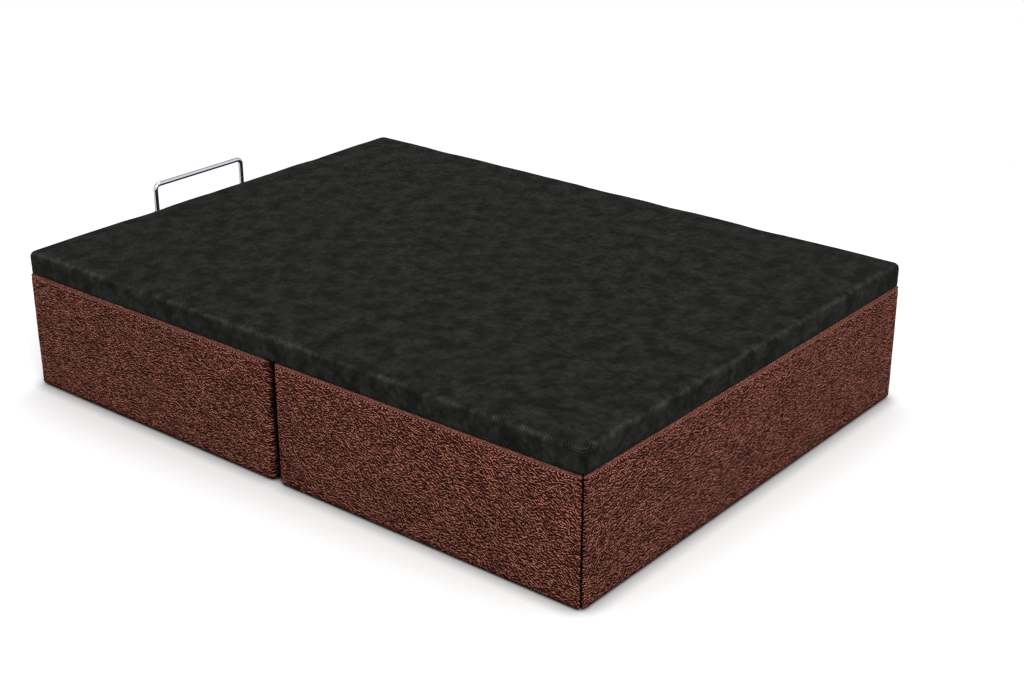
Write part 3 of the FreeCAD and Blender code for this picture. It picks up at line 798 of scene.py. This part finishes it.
staple_steel = thread_finish("staple_steel", colour(205, 207, 210), 0.9)
for seed, (node, (length, ends, rule, hand)) in enumerate(panels.items()):
    start = hem_start if ends[0] == "soft" else corner_clear
    end = lift_start if "side_cover_head" in node else length - corner_clear
    flat, cloth = hem_shape(start, end, seed)
    faces = tube_faces(len(flat) // hem_points, hem_points)
    cloth = [(hand * x + seed * cloth_apart, y) for x, y in cloth]
    hem = make_piece("hem_" + node, [rule(*v) for v in flat], faces, chenille, "root", cloth)
    vertices, faces = inner_staples(start, end, rule)
    make_piece("staples_" + node, vertices, faces, staple_steel, "root")
print("hems and staple rows:", len(panels))

# %% [markdown]
# ## The lid's mesh fabric
#
# The lid is covered in a black spacer mesh, the cloth of anti-slip mattress supports. Close up
# it has small round holes in offset rows; from the camera it is a matt black with faint ribs
# and cloudy patches where the pile lies differently.

# %% Mesh fabric finish
lid_centre_y = (lid_low.y + lid_high.y) / 2
lid_corner = 22 * MM
core_x = lid_high.x - lid_corner
core_y = (lid_high.y - lid_low.y) / 2 - lid_corner
hole_pitch = 5 * MM
row_pitch = hole_pitch * 0.87
rib_slant = math.radians(38)
ripple_pitch = 7.5 * MM
ripple_fade = (60 * MM, 15 * MM)


def corner_ripples(finish):
    """Rings of small gathers round the lid's four corners, from -1 to 1, fading within a hand's width."""
    middle = finish.vector("SUBTRACT", finish.place, (0, lid_centre_y, 0))
    offset = finish.vector("SUBTRACT", finish.vector("ABSOLUTE", middle), (core_x, core_y, 0))
    reach = finish.vector("LENGTH", offset, output="Value")
    return finish.math("SINE", reach * (math.tau / ripple_pitch)) * reach.sharpen(*ripple_fade)


def mesh_fabric_finish(name):
    finish = Finish(name, 0.9, specular=0.06, cloth=True)
    split = finish.add("SeparateXYZ", {"Vector": finish.place})
    rows = split["Y"] / row_pitch
    lattice = finish.add("CombineXYZ", {"X": split["X"] / hole_pitch + rows * 0.5, "Y": rows})
    holes = {"Vector": lattice, "Scale": 1.0, "Randomness": 0.15}
    web = finish.add("TexVoronoi", holes, voronoi_dimensions="2D").sharpen(0.12, 0.42)
    waves = {"Scale": 46.0, "Distortion": 2.0, "Detail": 2.0, "Detail Scale": 1.4}
    ribs = finish.add("TexWave", {"Vector": finish.turned(rib_slant), **waves}, "Fac")
    edge = finish.add("Attribute", output="Fac", attribute_name="edge")
    ripples = corner_ripples(finish)
    patches = finish.clouds(17.0, 5.0, 0.62)
    small_patches = finish.clouds(55.0, 3.0, 0.55)
    height = web * 0.55 + ribs * 0.45
    base = height.mix(colour(8, 8, 7), colour(35, 35, 33))
    # Painted highlight: paler rib streaks along the lid's rounded edge, where it catches the light.
    edge_highlight = edge * ribs.sharpen(0.1, 0.9, 0.4, 1.0) * patches.sharpen(0.3, 0.7, 0.75, 1.0)
    tint = patches.sharpen(0.34, 0.66, 0.42, 1.36) * small_patches.sharpen(0.34, 0.66, 0.72, 1.26)
    for source, depth, strength in ((small_patches, 1.5, 0.35), (ripples, 1.2, 0.9), (height, 1.6, 0.8)):
        finish.relief(source, depth * MM, strength)
    # The corner ripples also shift the tint: painted light and shade on the gathers, on top of their bump.
    return finish.done(finish.tinted(edge_highlight.mix(base, colour(51, 52, 49)), tint + ripples * 0.35))


mesh_fabric = mesh_fabric_finish("mesh_fabric")
print("mesh fabric nodes:", len(mesh_fabric.node_tree.nodes))

# %% [markdown]
# ## The lid
#
# The lid is a flat pad with a soft edge. A plain grid covers the middle, and rings run round it:
# over the rounded edge, down the side and back under the frame, where the cloth is stapled. The
# corner points of the grid fan out into quarter turns, so every ring has the same number of
# points and the cloth coordinates unfold without a break along the sides.

# %% Rings of the lid
lid_edge = 16 * MM
lid_foot_round = 2.4 * MM
lid_cloth = 2.5 * MM
cells_x, cells_y, corner_steps = 76, 100, 7
edge_steps, side_steps, foot_steps = 8, 6, 3
dent_depth, fine_dent_depth, pleat_depth = 1.1 * MM, 0.45 * MM, 0.9 * MM


def ring_places():
    """(grid column, grid row, outward direction) of each point of a ring, anticlockwise."""
    places = []
    sides = [
        ([(cells_x, j) for j in range(cells_y + 1)], 0),
        ([(i, cells_y) for i in range(cells_x, -1, -1)], 90),
        ([(0, j) for j in range(cells_y, -1, -1)], 180),
        ([(i, 0) for i in range(cells_x + 1)], 270),
    ]
    for cells, angle in sides:
        places += [(i, j, math.radians(angle)) for i, j in cells]
        i, j = cells[-1]
        places += [(i, j, math.radians(angle + 90 * k / corner_steps)) for k in range(1, corner_steps)]
    return places


def core_place(i, j):
    return -core_x + 2 * core_x * i / cells_x, lid_centre_y - core_y + 2 * core_y * j / cells_y


def ring_point(i, j, angle, offset):
    """A ring's point in plan; a ring inside the core is a plain rectangle."""
    x, y = core_place(i, j)
    if offset >= 0:
        return x + offset * math.cos(angle), y + offset * math.sin(angle)
    reach_x, reach_y = core_x + offset, core_y + offset
    run = y - lid_centre_y
    return max(-reach_x, min(reach_x, x)), lid_centre_y + max(-reach_y, min(reach_y, run))


print("points in a ring:", len(ring_places()))

# %% [markdown]
# A profile is a list of rings from the flat top inwards to the hem, each with its offset from the
# core, its height and how much the cloth is stretched there. The bag and the foam differ only in
# their profiles.

# %% Profiles of bag and foam
def over_the_edge(top, outer, round_radius):
    """(offset from the core, height, share of painted edge highlight) of the rings from the flat top round
    the edge.
    """
    flat = outer - round_radius
    rings = [(flat * 0.5, top, 0.15)]
    for i in range(edge_steps + 1):
        turn = math.radians(90 * i / edge_steps)
        # Share of the painted highlight, strongest a few rings round the edge.
        highlight_share = math.exp(-((i - 3) / 2.2) ** 2)
        rings.append((flat + round_radius * math.sin(turn), top - round_radius * (1 - math.cos(turn)), highlight_share))
    return rings


def cover_rings(top, low):
    """The bag's skin: over the edge, down the side, under the tube and up inside it."""
    rings = over_the_edge(top, lid_corner, lid_edge)
    start, end = top - lid_edge, low + lid_foot_round
    rings += [(lid_corner, start + (end - start) * i / side_steps, 0.0) for i in range(1, side_steps + 1)]
    for i in range(1, foot_steps + 1):
        turn = math.radians(90 * i / foot_steps)
        shrink = lid_foot_round * (1 - math.cos(turn))
        rings.append((lid_corner - shrink, low + lid_foot_round * (1 - math.sin(turn)), 0.0))
    hem = frame_inner - core_x
    return rings + [(lid_corner * 0.5, low, 0.0), (hem, low, 0.0), (hem, low + lid_cloth, 0.0)]


def foam_rings(top, low, inner_top):
    """The pad's skin: over the edge, down outside the tube, and back up between foam and board."""
    outer = lid_corner - lid_cloth
    inner = frame_outer - core_x
    rings = over_the_edge(top, outer, lid_edge - lid_cloth)
    rings += [(outer, low + (top - low) * share, 0.0) for share in (0.5, 0.25, 0.0)]
    rings += [(inner, low, 0.0), (inner, (low + inner_top) / 2, 0.0), (inner, inner_top, 0.0)]
    return rings + [(inner * 0.3, inner_top, 0.0)]

# %% [markdown]
# The wave puts shallow dents into the top and loose pleats into the sides, both made of noise.
# Between two rings each point joins its neighbours. Where two points of a ring fall together, the
# quad turns into a triangle.

# %% The ringed shape
def skin_wave(x, y):
    """Shallow dents where the pad is softer."""
    place = Vector((x * 8, y * 8, 0.7))
    return noise.noise(place) * dent_depth + noise.noise(place * 3.1) * fine_dent_depth


def ringed_shape(rings, wave):
    """A core grid with rings round it: vertices, faces, cloth coordinates and painted edge highlight."""
    places = ring_places()
    top = rings[0][1]
    low = min(height for offset, height, highlight_share in rings)
    vertices, cloth, edge_highlight = [], [], []
    for j in range(cells_y + 1):
        for i in range(cells_x + 1):
            x, y = core_place(i, j)
            vertices.append((x, y, top + wave * skin_wave(x, y)))
            cloth.append((x, y))
            edge_highlight.append(0.0)
    row = cells_x + 1
    faces = [(a, a + 1, a + row + 1, a + row)
             for j in range(cells_y) for a in range(j * row, j * row + cells_x)]
    before = [j * row + i for i, j, angle in places]
    reach, last = 0.0, (0.0, top)
    for offset, height, highlight_share in rings:
        reach += math.hypot(offset - last[0], height - last[1])
        last = (offset, height)
        now = []
        level = (height - low) / (top - low)
        for i, j, angle in places:
            x, y = ring_point(i, j, angle, offset)
            pleat = noise.noise(Vector((x * 26, y * 26, 5 + height * 9))) * pleat_depth
            pleat *= wave * math.sin(math.pi * min(1, level)) * (offset > lid_corner * 0.6)
            lift = wave * skin_wave(x, y) * max(0.0, level * 3 - 2)
            now.append(len(vertices))
            vertices.append((x + math.cos(angle) * pleat, y + math.sin(angle) * pleat, height + lift))
            core = core_place(i, j)
            cloth.append((core[0] + math.cos(angle) * reach, core[1] + math.sin(angle) * reach))
            edge_highlight.append(highlight_share)
        for k in range(len(places)):
            n = (k + 1) % len(places)
            faces.append(tuple(dict.fromkeys([before[k], now[k], now[n], before[n]])))
        before = now
    return vertices, faces, cloth, edge_highlight


def set_edge_highlight(piece, edge_highlight):
    """Keeps the share of painted edge highlight of each point, for the finish to read."""
    layer = piece.data.attributes.new("edge", "FLOAT", "POINT")
    layer.data.foreach_set("value", edge_highlight)

# %% [markdown]
# The bag is cut a hair larger than the pad, and air and foam press it out. That is simulated: the
# skin is copied without its hem, pinned along its lower side, given a little slack and a faint
# pressure, and run for twenty frames. The points then take the moves that the cloth made, held
# to a few millimetres outwards and almost none inwards, so the skin keeps soft shallow dents.

# %% Cloth simulation
swell_frames = 20
swell_limit = 2.5 * MM
sink_limit = 0.3 * MM
slack = 0.002
air_pressure = 0.05


def simulated_moves(piece, kept, pinned):
    """Runs Blender's cloth on a copy of the first points of a piece, and returns how far each moved."""
    copy = bpy.data.objects.new("cloth_copy", piece.data.copy())
    scene.collection.objects.link(copy)
    shape = bmesh.new()
    shape.from_mesh(copy.data)
    shape.verts.ensure_lookup_table()
    bmesh.ops.delete(shape, geom=shape.verts[kept:], context="VERTS")
    shape.to_mesh(copy.data)
    shape.free()
    copy.vertex_groups.new(name="pinned").add(pinned, 1.0, "REPLACE")
    cloth = copy.modifiers.new("cloth", "CLOTH")
    cloth.collision_settings.use_collision = False
    cloth.point_cache.frame_start, cloth.point_cache.frame_end = 1, swell_frames
    values = {"mass": 0.3, "tension_stiffness": 15, "compression_stiffness": 15, "bending_stiffness": 2,
              "tension_damping": 15, "compression_damping": 15, "air_damping": 3, "use_pressure": True,
              "uniform_pressure_force": air_pressure, "shrink_min": -slack, "vertex_group_mass": "pinned"}
    for key, value in values.items():
        setattr(cloth.settings, key, value)
    cloth.settings.effector_weights.gravity = 0
    for step in range(1, swell_frames + 1):
        scene.frame_set(step)
    graph = bpy.context.evaluated_depsgraph_get()
    moved = [vertex.co.copy() for vertex in copy.evaluated_get(graph).data.vertices]
    moves = [place - vertex.co for place, vertex in zip(moved, piece.data.vertices)]
    scene.frame_set(1)
    bpy.data.objects.remove(copy)
    return moves


def swell(piece, kept, pinned):
    """Gives a piece the moves of its simulation, softly capped along each point's own normal."""
    moves = simulated_moves(piece, kept, pinned)
    normals = [vertex.normal.copy() for vertex in piece.data.vertices]
    furthest = 0.0
    for vertex, normal, move in zip(piece.data.vertices, normals, moves):
        out = move.dot(normal)
        out = max(-sink_limit, swell_limit * out / (swell_limit + abs(out)))
        vertex.co += normal * out
        furthest = max(furthest, out)
    print(f"{piece.name} swelled by up to {furthest * 1000:.2f} mm")

# %% [markdown]
# The bag takes the place of the solid cover, so it is made at that cover's size and then swelled.
# Its last two rings are the hem, which is stapled down and keeps still.

# %% The lid's cover
frame_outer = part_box("lid_side_tube_right")[1].x
frame_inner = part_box("lid_side_tube_right")[0].x
vertices, faces, cloth, edge_highlight = ringed_shape(cover_rings(lid_high.z, lid_low.z), 1.0)
lid_cover = make_piece("lid_mesh_cover", vertices, faces, mesh_fabric, "lid", cloth)
set_edge_highlight(lid_cover, edge_highlight)
skin_size = len(vertices) - 2 * len(ring_places())
held = lid_low.z + lid_foot_round + 10 * MM
swell(lid_cover, skin_size, [v.index for v in lid_cover.data.vertices[:skin_size] if v.co.z < held])
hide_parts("lid_cover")
print("lid cover:", len(vertices), "points")

# %% [markdown]
# Under the lid a machine seam joins the bag's skirt to its hem. It is seen only when the lid is up.

# %% Seam under the lid
black_thread = thread_finish("lid_thread", colour(46, 46, 46))
lid_stitch_radius = 0.5 * MM
seam_corners = [Vector((x, lid_centre_y + y, lid_low.z)) for x, y in
                ((core_x, -core_y), (core_x, core_y), (-core_x, core_y), (-core_x, -core_y))]
row = []
for start, end in zip(seam_corners, seam_corners[1:] + seam_corners[:1]):
    length = (end - start).length
    row += stitch_row(int(length / stitch_pitch), 0, length, lambda along: start.lerp(end, along / length),
                      Vector((0, 0, -1)), thickness=lid_stitch_radius)
lid_seam = make_piece("stitches_lid_cover", *join(row), black_thread, "lid")
print("stitches under the lid:", len(row))

# %% [markdown]
# ## The foam under the fabric
#
# A thin layer of foam lies on the lid's board and turns down over its edges. It is closed, with
# the same rounded edge as the bag, and so a touch smaller everywhere.

# %% Foam
def foam_finish(name):
    finish = Finish(name, 0.95, specular=0.1)
    pores = finish.cells(620.0).sharpen(0.15, 0.6)
    base = finish.clouds(6.0, 3.0).mix(colour(214, 206, 176), colour(232, 227, 206))
    finish.relief(pores, 0.8 * MM, 0.9)
    return finish.done(pores.mix(colour(176, 166, 134), base))


foam_low, foam_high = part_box("lid_foam")
foam_inner_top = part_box("lid_board")[1].z
foam_wave = 0.25
vertices, faces, cloth, edge_highlight = ringed_shape(foam_rings(foam_high.z, foam_low.z, foam_inner_top), foam_wave)
last_ring = len(ring_places())
faces.append(tuple(range(len(vertices) - last_ring, len(vertices))))
foam_pad = make_piece("lid_foam_pad", vertices, faces, foam_finish("pad_foam"), "lid", cloth)
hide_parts("lid_foam")
print("foam pad:", len(vertices), "points")

# %% [markdown]
# ## Finishes of the hard pieces
#
# Inside, a storage bed is plain joinery and steelwork: chipboard panels, planed pine, hardboard
# floors, black powder-coated tube, grey lift fittings and zinc screws. Each finish below is mixed
# from the pattern that its making leaves behind. A thin bevel rounds the sharp CAD edges for the
# light, and the same bevel tells the finish where hands and cloth have rubbed an edge.

# %% Helpers for hard finishes
def rubbed_edges(finish, radius):
    """1 on sharp edges and 0 on flat faces."""
    flat = finish.add("NewGeometry", output="Normal")
    likeness = finish.vector("DOT_PRODUCT", flat, finish.bevel(radius), "Value")
    return likeness.sharpen(0.995, 0.88)


def dress(material, *nodes):
    for node in nodes:
        for material_slot in frame["nodes"][node].material_slots:
            material_slot.material = material

# %% [markdown]
# Wood first. Chipboard shows flakes of every tan. Pine and birch have long grain, drawn by a noise
# that is stretched along the board. Hardboard is felted fibre pressed flat.

# %% Wood finishes
def flake_finish(name):
    finish = Finish(name, 0.78, specular=0.25)
    shade = finish.cell_shade(310.0)
    patches = finish.clouds(14.0, 4.0).sharpen(0.35, 0.75, 0.0, 0.5)
    base = shade.mix(colour(150, 116, 76), colour(206, 176, 130))
    finish.relief(shade, 0.3 * MM, 0.5, 1 * MM)
    return finish.done(patches.mix(base, colour(188, 156, 112)))


def grain_finish(name, scale, light, dark, figure=1.0, bend=6.0):
    """Long grain: scale is how fast the pattern changes along x, y and z, figure how strong the rings are."""
    finish = Finish(name, 0.62, specular=0.3)
    along = finish.vector("MULTIPLY", finish.place, scale)
    waves = {"Vector": along, "Scale": 1.0, "Distortion": bend, "Detail": 3.0}
    rings = finish.add("TexWave", waves, "Fac") * figure
    pores = finish.clouds(9.0, 5.0, 0.7, along)
    base = (rings * pores.sharpen(0.25, 0.75, 0.55, 1.0)).mix(light, dark)
    patches = finish.clouds(5.0, 3.0).sharpen(0.4, 0.8, 0.0, 0.35)
    finish.relief(pores, 0.3 * MM, 0.5, 1.2 * MM)
    return finish.done(patches.mix(base, dark))


def fibre_finish(name):
    finish = Finish(name, 0.5, specular=0.4)
    fibres = finish.clouds(420.0, 5.0, 0.75)
    patches = finish.clouds(7.0, 5.0, 0.6)
    base = fibres.mix(colour(92, 62, 38), colour(150, 110, 72))
    base = patches.sharpen(0.3, 0.7, 0.0, 0.5).mix(base, colour(120, 84, 52))
    finish.relief(fibres, 0.2 * MM, 0.4)
    return finish.done(base, Roughness=patches.sharpen(0.3, 0.7, 0.42, 0.62))


chipboards = [node for node in frame["nodes"] if "board_" in node and "floor" not in node]
pine = colour(222, 190, 142), colour(176, 130, 80)
birch = colour(226, 202, 162), colour(196, 164, 118)
dress(flake_finish("sanded_chipboard"), "head_board", "foot_board", *chipboards)
dress(grain_finish("pine_along", (46, 2.4, 46), *pine), "side_battens")
dress(grain_finish("pine_across", (2.4, 46, 46), *pine), "end_battens", "floor_bearers")
dress(grain_finish("birch_ply", (2.6, 0.5, 2.6), *birch, figure=0.55, bend=15.0), "lid_board")
dress(fibre_finish("hardboard_smooth"), "floor_board_head", "floor_board_foot")
print("boards of the long sides:", len(chipboards))

# %% [markdown]
# Then metal. Powder coat has an orange-peel skin. Zinc plate is a soft grey crystal with a faint
# rainbow of tone. The lift fittings are pressed and powder coated grey, the struts are glossy
# black tubes with ground rods, and the handle bar is polished chrome.

# %% Metal finishes
def coat_finish(name, tone, bare, roughness, peel=900.0):
    """Powder coat, rubbed through to bare metal on its edges."""
    finish = Finish(name, roughness, specular=0.4)
    dust = finish.clouds(12.0, 4.0)
    rub = rubbed_edges(finish, 1.2 * MM) * dust.sharpen(0.45, 0.7)
    base = rub.mix(dust.mix(darker(tone, 0.8), tone), bare)
    dull = dust.sharpen(0.2, 0.8, roughness - 0.06, roughness + 0.08)
    finish.relief(finish.clouds(peel, 3.0), 0.2 * MM, 0.6, 0.8 * MM)
    return finish.done(base, Metallic=rub * 0.6, Roughness=dull)


def zinc_finish(name):
    finish = Finish(name, 0.4, metallic=0.7)
    shade = finish.cell_shade(260.0)
    stain = finish.clouds(26.0, 4.0)
    base = shade.mix(colour(186, 188, 190), colour(206, 208, 208))
    base = stain.sharpen(0.45, 0.8, 0.0, 0.5).mix(base, colour(190, 184, 162))
    finish.relief(shade, 0.05 * MM, 0.5, 0.6 * MM)
    return finish.done(base, Roughness=stain.sharpen(0.2, 0.8, 0.34, 0.54))


def polish_finish(name, centre, glancing_reflection_tone, roughness, scratch):
    """Chrome with a painted reflection: the base colour is pale face on and dark at a glance, with streaks,
    as if it mirrored a pale room and the dark beyond it.
    """
    finish = Finish(name, roughness, metallic=1.0)
    # Painted reflection: pale face on, dark at a glance, broken by streaks.
    facing = finish.add("LayerWeight", {"Blend": 0.5}, "Facing")
    reflection_streaks = finish.clouds(1.0, 2.0, place=finish.vector("MULTIPLY", finish.place, (9, 30, 30)))
    turn = facing + (reflection_streaks - 0.5) * 0.5
    lines = finish.clouds(1.0, 4.0, 0.7, finish.vector("MULTIPLY", finish.place, scratch))
    finish.relief(lines, 0.03 * MM, 0.4)
    dull = lines.sharpen(0.3, 0.8, roughness, roughness + 0.12)
    return finish.done(turn.sharpen(0.25, 0.62).mix(centre, glancing_reflection_tone), Roughness=dull)


zinc = zinc_finish("zinc_plate")
black_coat = coat_finish("black_powder_coat", colour(44, 44, 46), colour(150, 150, 150), 0.5)
grey_coat = coat_finish("grey_powder_coat", colour(140, 143, 147), colour(200, 200, 200), 0.42)
strut_paint = coat_finish("strut_paint", colour(34, 34, 36), colour(170, 170, 170), 0.2, peel=300.0)
bright_rod = polish_finish("ground_rod", colour(214, 216, 220), colour(120, 124, 130), 0.08, (900, 900, 20))
bar_chrome = polish_finish("bar_chrome", colour(214, 220, 230), colour(20, 22, 26), 0.05, (60, 700, 700))
# The joining strips get the black coat so that the split gap behind the panels reads dark: a dark piece
# standing in for the shade in the gap.
dress(black_coat, "bar_sockets", "joining_strips", "lid_cross_tubes", "lid_head_tube", "lid_foot_tube")
dress(zinc, "corner_angles", "base_pins", "bracket_pins")
dress(bar_chrome, "stop_bar")
pairs = {"lid_side_tube_": black_coat, "strut_tube_": strut_paint, "strut_rod_": bright_rod,
         "base_plate_": grey_coat, "lift_arm_": grey_coat, "rear_link_": grey_coat, "lid_bracket_": grey_coat,
         "strut_base_stud_": zinc, "strut_lid_stud_": zinc}
for piece, finish in pairs.items():
    dress(finish, piece + "right", piece + "left")
print("fittings that come in pairs:", len(pairs))

# %% [markdown]
# The glides are hard nylon and the buffers are rubber. Both are nearly black, so they are told
# apart by how dull they are and by how coarse their moulded skin is. Paler scuffs break up the
# even tone that makes small plastic pieces look drawn.

# %% Plastic and rubber
def moulded_finish(name, tone, roughness, texture):
    finish = Finish(name, roughness, specular=0.4)
    scuffs = finish.clouds(60.0, 4.0).sharpen(0.5, 0.85, 0.0, 0.7)
    pale = tuple(min(1.0, c * 2.2 + 0.01) for c in tone[:3]) + (1,)
    finish.relief(finish.clouds(texture, 3.0), 0.2 * MM, 0.6, 0.8 * MM)
    return finish.done(scuffs.mix(tone, pale))


dress(moulded_finish("glide_nylon", colour(26, 26, 27), 0.45, 1500.0), "glide_feet")
dress(moulded_finish("buffer_rubber", colour(38, 37, 36), 0.8, 700.0), "rim_buffers")
print("finishes:", len(bpy.data.materials))

# %% [markdown]
# ## Bolts and screws
#
# The fasteners are small and many, so they are made here and not in the CAD. One routine turns a
# head out of rings: each ring has a radius, a height and an outline, which is round, hexagonal
# or the cross of a driver's recess. Every head stands on the face that it clamps.

# %% Turned heads
head_sides = 24


def ring_radius(radius, outline, turn):
    if outline == "hex":
        sector = math.radians(60)
        return radius / math.cos((turn % sector) - sector / 2)
    if outline == "cross":
        return radius * (0.4 + 0.6 * abs(math.cos(2 * turn)) ** 3)
    return radius


bolt_rings = [(6.8, 0, "round"), (6.8, 0.9, "round"), (6.4, 1.2, "round"), (5.0, 1.2, "hex"),
              (5.0, 3.7, "hex"), (4.6, 4.1, "round"), (2.4, 4.1, "round"), (1.8, 3.8, "round")]
screw_rings = [(5.0, 0, "round"), (5.0, 0.7, "round"), (4.3, 1.9, "round"), (3.2, 2.5, "round"),
               (2.3, 2.6, "cross"), (1.9, 1.4, "cross"), (0.6, 1.0, "round")]


def turned_head(rings, seat, direction):
    """Rings in millimetres stacked from the seat along a direction, closed at the top."""
    aim = Vector(direction).to_track_quat("Z", "Y").to_matrix()
    vertices = []
    for radius, height, outline in rings:
        for k in range(head_sides):
            turn = math.tau * k / head_sides
            reach = ring_radius(radius, outline, turn) * MM
            local = Vector((reach * math.cos(turn), reach * math.sin(turn), height * MM))
            vertices.append(seat + aim @ local)
    return vertices, tube_faces(len(rings), head_sides)


def head_set(name, rings, seats, finish, body):
    """A set of equal heads as one piece; seats are (place, direction) pairs."""
    vertices, faces = join([turned_head(rings, seat, direction) for seat, direction in seats])
    piece = make_piece(name, vertices, faces, finish, body)
    piece.data.shade_flat()
    print(name, len(seats), "heads")

# %% [markdown]
# The seats come from the frame: joints give the pivots that the lift plates are drawn round, and
# boxes give the faces of strips, angles and sockets.

# %% Bolts and screws in place
pivots = {joint["name"]: Vector(joint["pos_m"]) for joint in frame["joints"]}
arm_pivot, link_pivot = pivots["arm_swing_right"], pivots["link_swing_right"]
strut_pivot = pivots["strut_tube_swing_right"]


def both_ways(x, y, z):
    """A seat on the right and its mirror on the left, both facing the middle of the bed."""
    return [(Vector((side * x, y, z)), (-side, 0, 0)) for side in (1, -1)]


plate_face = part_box("base_plate_right")[0].x
plate_lines = [(arm_pivot, strut_pivot, 0.2), (arm_pivot, strut_pivot, 0.8),
               (strut_pivot, link_pivot, 0.3), (arm_pivot, link_pivot, 0.2), (arm_pivot, link_pivot, 0.75)]
seats = []
for start, end, share in plate_lines:
    place = start.lerp(end, share)
    seats += both_ways(plate_face, place.y, place.z)
head_set("base_plate_bolts", bolt_rings, seats, zinc, "root")

bracket_thickness = 4 * MM
bracket_bolt_drop = 18 * MM
bracket_low, bracket_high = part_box("lid_bracket_right")
seats = []
for share in (0.145, 0.5, 0.855):
    y = bracket_low.y + share * (bracket_high.y - bracket_low.y)
    seats += both_ways(bracket_high.x - bracket_thickness, y, bracket_high.z - bracket_bolt_drop)
head_set("lid_bracket_bolts", bolt_rings, seats, zinc, "lid")

strip_thickness = 3 * MM
strip_bolt_run = 40 * MM
strip_low, strip_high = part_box("joining_strips")
seats = []
for share in (0.1, 0.5, 0.9):
    z = strip_low.z + share * (strip_high.z - strip_low.z)
    for y in (middle_y - strip_bolt_run, middle_y + strip_bolt_run):
        seats += both_ways(strip_high.x - strip_thickness, y, z)
head_set("joining_strip_bolts", bolt_rings, seats, zinc, "root")

angle_thickness = 2 * MM
angle_screw_run = 23.5 * MM
angle_low, angle_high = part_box("corner_angles")
seats = []
for share in (0.15, 0.85):
    z = angle_low.z + share * (angle_high.z - angle_low.z)
    for end_y, inwards in ((angle_high.y, -1), (angle_low.y, 1)):
        seats += both_ways(angle_high.x - angle_thickness, end_y + inwards * angle_screw_run, z)
        for side in (1, -1):
            x = side * (angle_high.x - angle_screw_run)
            seats.append((Vector((x, end_y + inwards * angle_thickness, z)), (0, inwards, 0)))
head_set("corner_angle_screws", screw_rings, seats, zinc, "root")

socket_plate = 3 * MM
socket_bolt_run = 24 * MM
bar_radius = 7 * MM
bar_low, bar_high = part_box("stop_bar")
socket_low, socket_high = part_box("bar_sockets")
seats = []
socket_z = (socket_low.z + socket_high.z) / 2
for leg in (bar_low.x + bar_radius, bar_high.x - bar_radius):
    for x in (leg - socket_bolt_run, leg + socket_bolt_run):
        seats.append((Vector((x, socket_high.y - socket_plate, socket_z)), (0, -1, 0)))
head_set("bar_socket_bolts", bolt_rings, seats, black_coat, "lid")
